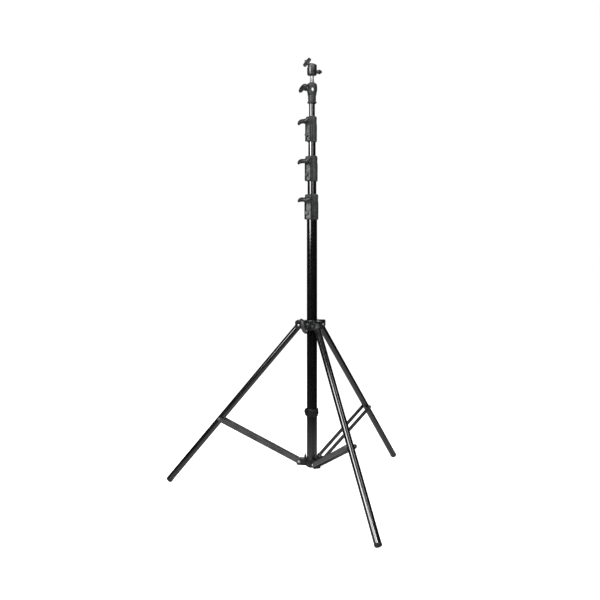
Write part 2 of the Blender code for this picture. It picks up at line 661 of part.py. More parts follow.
def build_leg(number, azimuth):
    """A leg in its own frame: the pivot is the origin and the tube runs down local -Z."""
    name = "leg_%d" % number
    place = (HUB_PIVOT_RADIUS * math.cos(azimuth), HUB_PIVOT_RADIUS * math.sin(azimuth), HUB_PIVOT_HEIGHT)
    frame = make_frame(name + "_pivot", place, (0, -LEG_ANGLE, azimuth))
    tube_end = -LEG_LENGTH + FOOT_CAP + GAP
    tube = add_body(name + "_tube", ring(LEG_RADIUS - TUBE_WALL, LEG_RADIUS, tube_end, -LEG_TUBE_START, LEG_SIDES),
                    leg_finish, parent=frame)
    reach = 2 * LEG_RADIUS
    cut(tube, moved(along_y(rod(BRACE_PIN_RADIUS, -reach, reach, 8)), z=-BRACE_ON_LEG))

    neck = LEG_RADIUS - TUBE_WALL - GAP
    shoulder = -LEG_TUBE_START + GAP
    outline = [(0, LEG_RADIUS), (LEG_RADIUS, LEG_RADIUS), (LEG_RADIUS, shoulder), (neck, shoulder),
               (neck, -LEG_TUBE_START - LEG_PLUG_DEPTH), (0, -LEG_TUBE_START - LEG_PLUG_DEPTH)]
    end = add_body(name + "_hinge_end", lathe(outline, LEG_SIDES), casting_finish, "MANIFOLD", parent=frame)
    below = LEG_TUBE_START + 2 * LEG_PLUG_DEPTH
    stadium = arc((0, 0), LEG_RADIUS, 0, 180, 6) + [(-LEG_RADIUS, -below), (LEG_RADIUS, -below)]
    combine(end, plate(stadium, 2 * LEG_RADIUS), "INTERSECT")
    cut(end, along_y(rod(LEG_PIN_RADIUS + GAP, -reach, reach)))

    cap = -LEG_LENGTH + FOOT_CAP
    plug = cap + FOOT_PLUG
    outline = [(0, -LEG_LENGTH)]
    outline += arc((FOOT_RADIUS - FOOT_ROUNDING, FOOT_ROUNDING - LEG_LENGTH), FOOT_ROUNDING, -90, 0, 2)
    outline += [(FOOT_RADIUS, cap), (neck, cap), (neck, plug), (0, plug)]
    add_body(name + "_foot", lathe(outline, LEG_SIDES), rubber_finish, parent=frame)


def brace_bar(side):
    """A flat bar with round ends and a hole at each pivot, leaning out slightly towards the leg."""
    outline = arc((0, 0), BAR_HALF_HEIGHT, 90, 270, 6) + arc((BRACE_LENGTH, 0), BAR_HALF_HEIGHT, -90, 90, 6)
    shape = plate(outline, BAR_THICKNESS / 2, BAR_THICKNESS / 2)
    lean = math.atan2(BAR_SIDE_AT_LEG - BAR_SIDE_AT_SPIDER, BRACE_LENGTH)
    shape.transform(Matrix.Translation((0, BAR_SIDE_AT_SPIDER, 0)) @ Matrix.Rotation(lean, 4, "Z"))
    if side < 0:
        shape.transform(Matrix.Scale(-1, 4, Vector((0, 1, 0))))
        bmesh.ops.reverse_faces(shape, faces=shape.faces)
    return shape


def brace_bolt(side):
    """Bolt head outside the bar, spacer between the bar and the leg tube."""
    inner = LEG_RADIUS + GAP
    outer = BAR_SIDE_AT_LEG + BAR_THICKNESS + GAP
    outline = [(0, inner), (SPACER_RADIUS, inner), (SPACER_RADIUS, BAR_SIDE_AT_LEG - GAP),
               (BRACE_PIN_RADIUS, BAR_SIDE_AT_LEG - GAP), (BRACE_PIN_RADIUS, outer),
               (PIN_HEAD_RADIUS + 0.0008, outer), (PIN_HEAD_RADIUS - 0.0006, outer + 0.0036),
               (0, outer + 0.0036)]
    shape = along_y(lathe(outline, PIN_SIDES))
    if side < 0:
        shape.transform(Matrix.Rotation(math.pi, 4, "Z"))
    return moved(shape, x=BRACE_LENGTH)


def build_brace(number, azimuth):
    name = "brace_%d" % number
    place = (SPIDER_PIVOT_RADIUS * math.cos(azimuth), SPIDER_PIVOT_RADIUS * math.sin(azimuth),
             SPIDER_PIVOT_HEIGHT)
    frame = make_frame(name + "_pivot", place, (0, -BRACE_ELEVATION, azimuth))
    for label, side in (("left", 1), ("right", -1)):
        bar = add_body(name + "_" + label + "_bar", brace_bar(side), bar_finish, parent=frame)
        reach = side * (BAR_SIDE_AT_LEG + 2 * BAR_THICKNESS)
        low, high = sorted((side * LEG_RADIUS, reach))
        cut(bar, gather([along_y(rod(BRACE_PIN_RADIUS + GAP, low, high, PIN_SIDES)),
                         moved(along_y(rod(BRACE_PIN_RADIUS + GAP, low, high, PIN_SIDES)), x=BRACE_LENGTH)]))
        add_body(name + "_" + label + "_bolt", brace_bolt(side), steel_finish, parent=frame)


def receiver_outline():
    return [(0, 0), (RISER_RADII[2] + 0.001, 0), (RECEIVER_FLANGE_RADIUS, 0.0040),
            (RECEIVER_FLANGE_RADIUS, 0.0055), (RECEIVER_NECK_RADIUS, 0.0080),
            (RECEIVER_NECK_RADIUS + 0.0004, RECEIVER_TALL * 0.37), (RECEIVER_RADIUS - 0.0018, RECEIVER_TALL * 0.54),
            (RECEIVER_RADIUS, SLOT_HEIGHT), (RECEIVER_RADIUS - 0.0012, RECEIVER_TALL - 0.0055),
            (SPIGOT_BASE_RADIUS + 0.001, RECEIVER_TALL), (0, RECEIVER_TALL)]


def cross_slot():
    """The tall slot through the head of the top casting, with flared mouths."""
    half = SLOT_WIDE / 2
    straight = SLOT_TALL / 2 - half
    outline = arc((0, straight), half, 0, 180, 5) + arc((0, -straight), half, 180, 360, 5)
    return moved(plate(outline, 2 * RECEIVER_RADIUS), x=SLOT_OFFSET, z=SLOT_HEIGHT)


def build_receiver(bottom):
    frame = make_frame("receiver_level", (0, 0, bottom))
    receiver = add_body("receiver_body", lathe(receiver_outline()), casting_finish, "MANIFOLD", parent=frame)
    boss = moved(along_x(rod(BOSS_RADIUS * 0.8, RECEIVER_RADIUS / 2, RECEIVER_BOSS_REACH)), z=SLOT_HEIGHT)
    unite(receiver, turned(boss, RECEIVER_CLAMP_AZIMUTH))
    cut(receiver, cross_slot())
    cut(receiver, rod(RISER_RADII[2] + GAP, -0.001, RECEIVER_SEAT + GAP, SIDES))
    cut(receiver, rod(STUD_RADIUS + GAP, RECEIVER_TALL - STUD_DEPTH - GAP, RECEIVER_TALL + 0.001))
    tip = SLOT_WIDE / 2 + SCREW_RADIUS / 2
    hole = moved(along_x(rod(SCREW_RADIUS + GAP, tip, RECEIVER_BOSS_REACH + 0.002)), z=SLOT_HEIGHT)
    cut(receiver, turned(hole, RECEIVER_CLAMP_AZIMUTH))
    build_clamp("receiver", SLOT_HEIGHT, RECEIVER_CLAMP_AZIMUTH, tip, RECEIVER_BOSS_REACH,
                RECEIVER_HANDLE_TURN, frame)


def build_spigot(bottom):
    foot = GAP
    top = SPIGOT_TALL - GAP
    outline = [(0, -STUD_DEPTH), (STUD_RADIUS, -STUD_DEPTH), (STUD_RADIUS, foot), (SPIGOT_BASE_RADIUS, foot),
               (SPIGOT_BASE_RADIUS, SPIGOT_BASE_TALL), (SPIGOT_RADIUS, SPIGOT_BASE_TALL + 0.003),
               (SPIGOT_RADIUS, top), (STUD_RADIUS, top), (STUD_RADIUS, top + STUD_DEPTH), (0, top + STUD_DEPTH)]
    frame = make_frame("spigot_level", (0, 0, bottom))
    add_body("spigot", lathe(outline, LEG_SIDES), steel_finish, parent=frame)


def wing_outline():
    """A flat wing that narrows to its far end, in the knob's own frame: x outwards, z across."""
    near = [(0.15, 0.52), (0.36, 0.72), (0.48, 1.0), (0.60, 0.96), (0.88, 0.52), (1.0, 0.18)]
    side = [(WING_REACH * x, WING_HALF_LENGTH * z) for x, z in near]
    return [(x, -z) for x, z in side] + side[::-1]


def build_wing_knob(frame):
    axis = make_frame("head_knob_axis", (0, 0, WING_HEIGHT), (0, 0, 0), frame)
    seat = HEAD_RADIUS + 0.0008
    start = HEAD_RADIUS - WING_SCREW_DEPTH - seat
    outline = [(0, start), (WING_SCREW_RADIUS, start), (WING_SCREW_RADIUS, 0), (WING_HUB_RADIUS, 0),
               (WING_HUB_RADIUS, WING_HUB_TALL * 0.75), (WING_HUB_RADIUS * 0.7, WING_HUB_TALL),
               (0, WING_HUB_TALL)]
    knob = add_body("head_knob", along_x(lathe(outline, SMALL_SIDES)), moulded_finish, parent=axis,
                    location=(seat, 0, 0), turn=(WING_TURN, 0, 0))
    unite(knob, plate(wing_outline(), WING_THICKNESS / 2), 0.0008)


def build_ball(frame):
    """Ball with stem and camera screw, lock ring and platform, all along the stem."""
    centre = make_frame("ball_centre", (0, 0, BALL_HEIGHT), (0, -BALL_TILT, 0), frame)
    low = PLATFORM_START + LOCK_RING_THICKNESS + GAP
    high = low + PLATFORM_THICKNESS
    shoulder = low + STEM_IN_PLATFORM
    tip = high + CAMERA_SCREW_PROUD
    outline = arc((0, 0), BALL_RADIUS, -90, 62, 7)
    outline[0] = (0, -BALL_RADIUS)
    outline += [(STEM_RADIUS, outline[-1][1] + 0.0012), (STEM_RADIUS, shoulder), (CAMERA_SCREW_RADIUS, shoulder),
                (CAMERA_SCREW_RADIUS, tip - 0.001), (CAMERA_SCREW_RADIUS * 0.7, tip), (0, tip)]
    add_body("head_ball", lathe(outline, LEG_SIDES), steel_finish, parent=centre)

    flutes = 24
    rim = []
    for i in range(flutes):
        radius = PLATFORM_RADIUS - (0.0006 if i % 2 else 0.0)
        angle = math.tau * i / flutes
        rim.append((radius * math.cos(angle), radius * math.sin(angle)))
    wheel = plate(rim, LOCK_RING_THICKNESS / 2, -PLATFORM_START - LOCK_RING_THICKNESS / 2)
    wheel.transform(Matrix.Rotation(-math.pi / 2, 4, "X"))
    lock_ring = add_body("head_lock_ring", wheel, casting_finish, parent=centre)
    cut(lock_ring, rod(STEM_RADIUS + GAP, BALL_RADIUS, high))

    stem_bore = STEM_RADIUS + GAP
    screw_bore = CAMERA_SCREW_RADIUS + GAP
    step = shoulder + GAP
    outline = [(stem_bore, low), (PLATFORM_RADIUS, low), (PLATFORM_RADIUS, high - 0.0008),
               (PLATFORM_RADIUS - 0.0008, high), (screw_bore, high),
               (screw_bore, step), (stem_bore, step)]
    add_body("head_platform", lathe(outline), moulded_finish, parent=centre)


def build_head(bottom):
    frame = make_frame("head_axis", (0, 0, bottom))
    rounding = HEAD_GROOVE_HEIGHT - 0.0005
    outline = [(0, 0)] + arc((HEAD_RADIUS - rounding, rounding), rounding, -90, 0, 4)
    outline += [(HEAD_RADIUS - 0.0008, HEAD_GROOVE_HEIGHT), (HEAD_RADIUS - 0.0008, HEAD_GROOVE_HEIGHT + 0.0008),
                (HEAD_RADIUS, HEAD_GROOVE_HEIGHT + 0.0012)]
    outline += arc((HEAD_RADIUS - 0.0035, HEAD_TALL - 0.0055), 0.0035, 0, 75, 2)
    outline += [(BALL_RADIUS - 0.002, HEAD_TALL), (0, HEAD_TALL)]
    body = add_body("head_body", lathe(outline), moulded_finish, parent=frame)
    room = BALL_RADIUS + 2 * GAP
    socket = arc((0, 0), room, -90, 90, 8)
    socket[0] = (0, -room)
    socket[-1] = (0, room)
    cut(body, moved(lathe(socket, LEG_SIDES), z=BALL_HEIGHT))
    notch_floor = BALL_HEIGHT - STEM_RADIUS - 2 * GAP
    cut(body, block((-2 * HEAD_RADIUS, 0), (-NOTCH_HALF_WIDTH, NOTCH_HALF_WIDTH), (notch_floor, 2 * HEAD_TALL)))
    cut(body, rod(STUD_RADIUS + GAP, -0.001, STUD_DEPTH + GAP))
    cut(body, moved(along_x(rod(WING_SCREW_RADIUS + GAP, HEAD_RADIUS - WING_SCREW_DEPTH - GAP, 2 * HEAD_RADIUS)),
                    z=WING_HEIGHT))
    build_wing_knob(frame)
    build_ball(frame)


def apply_modifiers():
    """Keep each piece's finished shape, with its round faces smooth and its edges crisp."""
    graph = bpy.context.evaluated_depsgraph_get()
    shaped = [piece for piece in bpy.data.objects if piece.modifiers and not piece.hide_render]
    for piece in shaped:
        mesh = bpy.data.meshes.new_from_object(piece.evaluated_get(graph))
        mesh.shade_smooth()
        mesh.set_sharp_from_angle(angle=SHARP_ANGLE)
        mesh.name = piece.name
        piece.modifiers.clear()
        piece.data = mesh
    for tool in [thing for thing in bpy.data.objects if thing.hide_render]:
        bpy.data.objects.remove(tool, do_unlink=True)


def build_stand():
    clear_scene()
    build_column()
    build_spider()
    build_stop_ring()
    build_hub()
    for number, azimuth in enumerate(LEG_AZIMUTHS, start=1):
        build_leg(number, azimuth)
        build_brace(number, azimuth)
    for index in range(3):
        build_collar(index)
    for index in (1, 2, 3):
        build_riser(index)
    receiver_bottom = collar_bottom(3)
    build_receiver(receiver_bottom)
    build_spigot(receiver_bottom + RECEIVER_TALL)
    build_head(receiver_bottom + RECEIVER_TALL + SPIGOT_TALL)
    apply_modifiers()


build_stand()
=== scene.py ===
import json
import math

import bmesh
import bpy
from mathutils import Matrix, Vector


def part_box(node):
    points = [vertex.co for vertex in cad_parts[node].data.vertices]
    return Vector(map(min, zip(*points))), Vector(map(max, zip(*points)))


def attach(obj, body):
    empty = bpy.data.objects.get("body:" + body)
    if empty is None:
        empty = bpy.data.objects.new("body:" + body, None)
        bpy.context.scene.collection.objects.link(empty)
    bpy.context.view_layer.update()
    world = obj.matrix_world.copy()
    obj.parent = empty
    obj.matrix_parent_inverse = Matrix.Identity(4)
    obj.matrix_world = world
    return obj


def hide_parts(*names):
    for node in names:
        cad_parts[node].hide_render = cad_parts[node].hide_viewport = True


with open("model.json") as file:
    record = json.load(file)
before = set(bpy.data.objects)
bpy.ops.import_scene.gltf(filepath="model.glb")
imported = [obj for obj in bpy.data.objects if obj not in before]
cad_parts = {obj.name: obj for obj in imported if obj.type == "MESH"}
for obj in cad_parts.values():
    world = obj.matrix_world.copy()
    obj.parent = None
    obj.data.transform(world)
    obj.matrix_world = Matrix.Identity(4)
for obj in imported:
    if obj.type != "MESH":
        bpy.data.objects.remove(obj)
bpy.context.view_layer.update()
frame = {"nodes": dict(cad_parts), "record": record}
print("stand frame loaded,", len(frame["nodes"]), "solids")

# the folding base, in metres, as the solids have it
base = {
    "azimuths": [math.radians(a) for a in (-70, 50, 170)],
    "hubPivotRadius": 0.043, "hubPivotHeight": 0.4767,
    "spiderPivotRadius": 0.0423, "spiderPivotHeight": 0.0175,
    "braceOnLeg": 0.4287, "braceLength": 0.3063,
    "floor": -0.080, "columnRadius": 0.0175,
}


def solveBase():
    # leg angle from vertical and brace rise from level, from the triangle of hub, spider and brace bolt
    across = base["hubPivotRadius"] - base["spiderPivotRadius"]
    up = base["hubPivotHeight"] - base["spiderPivotHeight"]
    span = math.hypot(across, up)
    leg, brace = base["braceOnLeg"], base["braceLength"]
    angle = math.atan2(-across, up) + math.acos((leg ** 2 + span ** 2 - brace ** 2) / (2 * leg * span))
    run = across + leg * math.sin(angle)
    rise = up - leg * math.cos(angle)
    return angle, math.atan2(rise, run)


legAngle, braceRise = solveBase()


def deselectAll():
    bpy.ops.object.select_all(action="DESELECT")


def pick(obj):
    deselectAll()
    obj.select_set(True)
    bpy.context.view_layer.objects.active = obj


def nameIt(name):
    obj = bpy.context.object
    obj.name = name
    obj.data.name = name
    return obj


def editAll():
    bpy.ops.object.mode_set(mode="EDIT")
    bpy.ops.mesh.select_all(action="SELECT")


def endEdit():
    bpy.ops.mesh.normals_make_consistent(inside=False)
    bpy.ops.object.mode_set(mode="OBJECT")


def drawOutline(name, points, y=0.0, closed=True):
    # one vertex, extruded along the (x, z) points
    deselectAll()
    bpy.ops.mesh.primitive_plane_add(size=0.001)
    obj = nameIt(name)
    editAll()
    bpy.ops.mesh.merge(type="CENTER")
    bpy.ops.transform.translate(value=(points[0][0], y, points[0][1]))
    for (x0, z0), (x1, z1) in zip(points, points[1:]):
        bpy.ops.mesh.extrude_region_move(TRANSFORM_OT_translate={"value": (x1 - x0, 0, z1 - z0)})
    if closed:
        mesh = bmesh.from_edit_mesh(obj.data)
        for v in mesh.verts:
            v.select_set(len(v.link_edges) == 1)
        bmesh.update_edit_mesh(obj.data)
        bpy.ops.mesh.edge_face_add()
    bpy.ops.mesh.select_all(action="SELECT")
    return obj


def turnProfile(name, points, steps=64, closed=False):
    # an outline spun round Z
    obj = drawOutline(name, points, 0, closed)
    bpy.ops.mesh.spin(steps=steps, angle=math.tau, center=(0, 0, 0), axis=(0, 0, 1))
    bpy.ops.mesh.select_all(action="SELECT")
    bpy.ops.mesh.remove_doubles(threshold=1e-6)
    endEdit()
    return obj


def sidePlate(name, points, half, offset=0.0, edge=0.0, segments=3):
    # an outline filled and extruded along Y
    obj = drawOutline(name, points, offset - half)
    bpy.ops.mesh.edge_face_add()
    bpy.ops.mesh.extrude_region_move(TRANSFORM_OT_translate={"value": (0, 2 * half, 0)})
    bpy.ops.mesh.select_all(action="SELECT")
    endEdit()
    if edge:
        roundEdges(obj, edge, segments, 40)
    return obj


def softBox(name, size, centre, edge=0.0, segments=3):
    deselectAll()
    bpy.ops.mesh.primitive_cube_add(size=1, location=centre, scale=size)
    obj = nameIt(name)
    bpy.ops.object.transform_apply(location=True, rotation=True, scale=True)
    if edge:
        editAll()
        bpy.ops.mesh.bevel(offset=edge, segments=segments, profile=0.5, affect="EDGES")
        bpy.ops.object.mode_set(mode="OBJECT")
    return obj


def rodAlong(name, radius, start, end, axis="Z", vertices=48, edge=0.0):
    deselectAll()
    bpy.ops.mesh.primitive_cylinder_add(vertices=vertices, radius=radius, depth=end - start,
                                        location=(0, 0, (start + end) / 2))
    obj = nameIt(name)
    bpy.ops.object.transform_apply(location=True, rotation=True, scale=True)
    if edge:
        bpy.ops.object.mode_set(mode="EDIT")
        mesh = bmesh.from_edit_mesh(obj.data)
        for e in mesh.edges:
            e.select_set(abs(e.verts[0].co.z - e.verts[1].co.z) < 1e-7)
        bmesh.update_edit_mesh(obj.data)
        bpy.ops.mesh.bevel(offset=edge, segments=3, affect="EDGES")
        bpy.ops.object.mode_set(mode="OBJECT")
    if axis == "X":
        setPlace(obj, spinBy(math.pi / 2, "Y"))
    if axis == "Y":
        setPlace(obj, spinBy(-math.pi / 2, "X"))
    return obj


def spinBy(angle, axis="Z"):
    return Matrix.Rotation(angle, 4, axis)


def moveBy(x, y, z):
    return Matrix.Translation((x, y, z))


def setPlace(obj, matrix):
    # put the place into the mesh, so the object stays at the origin
    pick(obj)
    obj.matrix_world = matrix @ obj.matrix_world
    bpy.ops.object.transform_apply(location=True, rotation=True, scale=True)
    return obj


def raiseBy(obj, level):
    return setPlace(obj, moveBy(0, 0, level))


def applyBoolean(obj, other, operation, solver="MANIFOLD"):
    pick(obj)
    cutter = obj.modifiers.new("shape", "BOOLEAN")
    cutter.object = other
    cutter.operation = operation
    cutter.solver = solver
    bpy.ops.object.modifier_apply(modifier=cutter.name)
    bpy.data.objects.remove(other, do_unlink=True)
    return obj


def addTo(obj, other):
    return applyBoolean(obj, other, "UNION")


def cutFrom(obj, other):
    return applyBoolean(obj, other, "DIFFERENCE")


def roundEdges(obj, width, segments=2, angle=35):
    pick(obj)
    edge = obj.modifiers.new("edges", "BEVEL")
    edge.width = width
    edge.segments = segments
    edge.limit_method = "ANGLE"
    edge.angle_limit = math.radians(angle)
    edge.harden_normals = False
    bpy.ops.object.modifier_apply(modifier=edge.name)
    return obj


def smoothIt(obj, angle=35):
    pick(obj)
    bpy.ops.object.shade_smooth_by_angle(angle=math.radians(angle))
    return obj


def copyPiece(obj, name):
    twin = obj.copy()
    twin.data = obj.data.copy()
    twin.name = name
    twin.data.name = name
    bpy.context.scene.collection.objects.link(twin)
    return twin


def arcPoints(centre, radius, start, end, steps):
    points = []
    for i in range(steps + 1):
        a = math.radians(start + (end - start) * i / steps)
        points.append((centre[0] + radius * math.cos(a), centre[1] + radius * math.sin(a)))
    return points


def dress(obj, body, slot, finish, *nodes):
    obj.data.materials.clear()
    obj.data.materials.append(finish)
    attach(obj, body)
    if nodes:
        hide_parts(*nodes)


# finishes

def startFinish(name, roughness, metallic=0.0, specular=0.5):
    finish = bpy.data.materials.new(name)
    finish.use_nodes = True
    shader = finish.node_tree.nodes["Principled BSDF"]
    shader.inputs["Roughness"].default_value = roughness
    shader.inputs["Metallic"].default_value = metallic
    shader.inputs["Specular IOR Level"].default_value = specular
    return finish, finish.node_tree, shader


def place(tree, scale=(1, 1, 1)):
    where = tree.nodes.new("ShaderNodeTexCoord")
    mapping = tree.nodes.new("ShaderNodeMapping")
    mapping.inputs["Scale"].default_value = scale
    tree.links.new(where.outputs["Object"], mapping.inputs["Vector"])
    return mapping.outputs["Vector"]


def noiseOn(tree, vector, scale, detail=4.0, rough=0.55):
    noise = tree.nodes.new("ShaderNodeTexNoise")
    noise.inputs["Scale"].default_value = scale
    noise.inputs["Detail"].default_value = detail
    noise.inputs["Roughness"].default_value = rough
    tree.links.new(vector, noise.inputs["Vector"])
    return noise.outputs["Fac"]


def rampTo(tree, value, stops):
    ramp = tree.nodes.new("ShaderNodeValToRGB")
    while len(ramp.color_ramp.elements) < len(stops):
        ramp.color_ramp.elements.new(0.5)
    for element, (position, colour) in zip(ramp.color_ramp.elements, stops):
        element.position = position
        element.color = (*colour, 1)
    tree.links.new(value, ramp.inputs["Fac"])
    return ramp.outputs["Color"]


def mapTo(tree, value, low, high, fromLow=0.0, fromHigh=1.0):
    change = tree.nodes.new("ShaderNodeMapRange")
    change.inputs["From Min"].default_value = fromLow
    change.inputs["From Max"].default_value = fromHigh
    change.inputs["To Min"].default_value = low
    change.inputs["To Max"].default_value = high
    tree.links.new(value, change.inputs["Value"])
    return change.outputs["Result"]


def mathOf(tree, operation, first, second):
    node = tree.nodes.new("ShaderNodeMath")
    node.operation = operation
    tree.links.new(first, node.inputs[0])
    tree.links.new(second, node.inputs[1])
    return node.outputs["Value"]


def colourBy(tree, shader, value, look, low, high, roughLow=0.3, roughHigh=0.7):
    colour = rampTo(tree, value, [(low, look["dark"]), (high, look["light"])])
    tree.links.new(colour, shader.inputs["Base Color"])
    tree.links.new(mapTo(tree, value, *look["roughness"], roughLow, roughHigh), shader.inputs["Roughness"])


def bumpBy(tree, shader, value, strength, distance):
    bump = tree.nodes.new("ShaderNodeBump")
    bump.inputs["Strength"].default_value = strength
    bump.inputs["Distance"].default_value = distance
    tree.links.new(value, bump.inputs["Height"])
    tree.links.new(bump.outputs["Normal"], shader.inputs["Normal"])


tubeLook = {"dark": (0.0009, 0.0009, 0.0012), "light": (0.0030, 0.0030, 0.0035), "roughness": (0.11, 0.14)}


def blackTubeFinish():
    # black anodised tube: drawn lines along it, a little dust and rub
    finish, tree, shader = startFinish("blackAnodisedTube", 0.12, 0.0, 0.9)
    lines = noiseOn(tree, place(tree, (1, 1, 0.012)), 900, 3.0)
    rub = noiseOn(tree, place(tree, (1, 1, 0.35)), 26, 3.0, 0.5)
    streaks = mathOf(tree, "MULTIPLY", lines, rub)
    tree.links.new(rampTo(tree, streaks, [(0.12, tubeLook["dark"]), (0.45, tubeLook["light"])]),
                   shader.inputs["Base Color"])
    tree.links.new(mapTo(tree, rub, *tubeLook["roughness"], 0.3, 0.7), shader.inputs["Roughness"])
    bumpBy(tree, shader, lines, 0.012, 0.00005)
    return finish


legLook = {"dark": (0.0012, 0.0012, 0.0014), "light": (0.0044, 0.0044, 0.0048), "roughness": (0.13, 0.17)}


def legFinish():
    # satin black lacquer with fine orange peel
    finish, tree, shader = startFinish("satinBlackLeg", 0.15, 0.0, 0.9)
    peel = noiseOn(tree, place(tree), 420, 2.0)
    wear = noiseOn(tree, place(tree), 22, 3.0, 0.5)
    colourBy(tree, shader, wear, legLook, 0.35, 0.7, 0.35, 0.65)
    bumpBy(tree, shader, peel, 0.012, 0.00005)
    return finish


# the pad lift makes a paler copy of the casting paint, a painted highlight; the base, ring and top lifts make
# darker copies, painted shade on the hub and spider, the stop ring and the receiver
castingLook = {
    "dark": (0.016, 0.0168, 0.0165), "mid": (0.038, 0.0404, 0.0396), "light": (0.075, 0.079, 0.077),
    "roughness": (0.44, 0.56), "baseRoughness": (0.24, 0.33),
    "padHighlightLift": 2.5, "baseLift": 0.33, "ringLift": 0.12, "topLift": 0.70,
}


def castingFinish(name="powderCoatedCasting", lift=1.0, roughness="roughness"):
    # powder coated die casting: fine grain, faint mottling and pale rubbed specks
    finish, tree, shader = startFinish(name, 0.5, 0.0, 0.25)
    dark, mid, light = [tuple(c * lift for c in castingLook[key]) for key in ("dark", "mid", "light")]
    grain = noiseOn(tree, place(tree), 1500, 2.0)
    mottle = noiseOn(tree, place(tree), 60, 6.0, 0.6)
    scuff = noiseOn(tree, place(tree), 340, 8.0, 0.75)
    blend = tree.nodes.new("ShaderNodeMix")
    blend.data_type = "RGBA"
    tree.links.new(mapTo(tree, scuff, 0.0, 0.8, 0.66, 0.74), blend.inputs["Factor"])
    tree.links.new(rampTo(tree, mottle, [(0.3, dark), (0.62, mid)]), blend.inputs["A"])
    blend.inputs["B"].default_value = (*light, 1)
    tree.links.new(blend.outputs["Result"], shader.inputs["Base Color"])
    tree.links.new(mapTo(tree, mottle, *castingLook[roughness], 0.3, 0.7), shader.inputs["Roughness"])
    bumpBy(tree, shader, grain, 0.16, 0.0002)
    return finish


barLook = {"dark": (0.028, 0.028, 0.0288), "light": (0.066, 0.066, 0.0675), "roughness": (0.32, 0.46)}


def barFinish():
    # blackened steel strip, with rolled lines
    finish, tree, shader = startFinish("blackenedSteelStrip", 0.38, 0.35, 0.5)
    lines = noiseOn(tree, place(tree, (0.25, 0.25, 1)), 480, 5.0)
    cloud = noiseOn(tree, place(tree), 34, 6.0, 0.62)
    colourBy(tree, shader, cloud, barLook, 0.32, 0.68)
    bumpBy(tree, shader, lines, 0.06, 0.0002)
    return finish


mouldLook = {"dark": (0.006, 0.006, 0.0065), "light": (0.018, 0.018, 0.019), "roughness": (0.40, 0.56)}


def mouldedFinish():
    # glass filled nylon: spark eroded texture and a handled shine
    finish, tree, shader = startFinish("mouldedBlackNylon", 0.45, 0.0, 0.45)
    texture = tree.nodes.new("ShaderNodeTexVoronoi")
    texture.inputs["Scale"].default_value = 1600
    tree.links.new(place(tree), texture.inputs["Vector"])
    handled = noiseOn(tree, place(tree), 55, 5.0, 0.6)
    colourBy(tree, shader, handled, mouldLook, 0.3, 0.7)
    bumpBy(tree, shader, texture.outputs["Distance"], 0.14, 0.0002)
    return finish


shellLook = {"dark": (0.008, 0.008, 0.009), "light": (0.020, 0.020, 0.022), "roughness": (0.24, 0.30)}


def shellFinish():
    # black anodised shell of the ball head, with fine turning lines
    finish, tree, shader = startFinish("blackHeadShell", 0.28, 0.0, 0.45)
    cloud = noiseOn(tree, place(tree), 75, 6.0, 0.6)
    turned = noiseOn(tree, place(tree, (0.05, 0.05, 1)), 2200, 2.0)
    colourBy(tree, shader, cloud, shellLook, 0.3, 0.68)
    bumpBy(tree, shader, turned, 0.05, 0.0001)
    return finish


rubberLook = {"dark": (0.006, 0.006, 0.006), "light": (0.022, 0.021, 0.020), "roughness": (0.72, 0.9)}


def rubberFinish():
    # matt rubber with dust rubbed into it
    finish, tree, shader = startFinish("footRubber", 0.8, 0.0, 0.35)
    dust = noiseOn(tree, place(tree), 130, 8.0, 0.7)
    grain = noiseOn(tree, place(tree), 1100, 3.0)
    colourBy(tree, shader, dust, rubberLook, 0.4, 0.75)
    bumpBy(tree, shader, grain, 0.3, 0.0003)
    return finish


steelLook = {"dark": (0.16, 0.16, 0.158), "light": (0.25, 0.25, 0.247), "roughness": (0.40, 0.50),
             "oxideDark": (0.055, 0.056, 0.058), "oxideLight": (0.17, 0.17, 0.172),
             "dullDark": (0.30, 0.30, 0.298), "dullLight": (0.55, 0.55, 0.545)}


def steelFinish(name="brightZincSteel", dark="dark", light="light", metallic=0.35):
    # plated or blackened steel, with turning lines round it
    finish, tree, shader = startFinish(name, 0.28, metallic, 0.5)
    cloud = noiseOn(tree, place(tree), 90, 6.0, 0.6)
    turned = noiseOn(tree, place(tree, (0.06, 0.06, 1)), 2600, 3.0)
    tree.links.new(rampTo(tree, cloud, [(0.3, steelLook[dark]), (0.65, steelLook[light])]),
                   shader.inputs["Base Color"])
    tree.links.new(mapTo(tree, cloud, *steelLook["roughness"], 0.3, 0.7), shader.inputs["Roughness"])
    bumpBy(tree, shader, turned, 0.05, 0.0001)
    return finish


def nylonFinish():
    # the plain black bushes inside the collars
    finish, tree, shader = startFinish("bushNylon", 0.6, 0.0, 0.4)
    cloud = noiseOn(tree, place(tree), 180, 5.0)
    tree.links.new(rampTo(tree, cloud, [(0.3, (0.010, 0.010, 0.010)), (0.7, (0.024, 0.024, 0.024))]),
                   shader.inputs["Base Color"])
    tree.links.new(mapTo(tree, cloud, 0.52, 0.68), shader.inputs["Roughness"])
    bumpBy(tree, shader, cloud, 0.1, 0.0003)
    return finish


finishes = {
    "tube": blackTubeFinish(), "leg": legFinish(), "casting": castingFinish(), "bar": barFinish(),
    "moulded": mouldedFinish(), "rubber": rubberFinish(), "steel": steelFinish(), "bush": nylonFinish(),
    # a paler copy of the casting paint for the collar pads: a painted highlight
    "pad": castingFinish("paintedHighlightPad", castingLook["padHighlightLift"]),
    # darker copies of the casting paint: painted shade on the hub, spider, stop ring and receiver
    "baseCasting": castingFinish("shadedBaseCasting", castingLook["baseLift"], "baseRoughness"),
    "topCasting": castingFinish("shadedTopCasting", castingLook["topLift"]),
    "ring": castingFinish("shadedRingCasting", castingLook["ringLift"]),
    "headShell": shellFinish(),
    "oxide": steelFinish("blackOxideSteel", "oxideDark", "oxideLight", 0.85),
    "dull": steelFinish("dullZincSteel", "dullDark", "dullLight", 0.8),
}
slotOf = {part["node"]: part["material_slot"] for part in frame["record"]["subparts"]}
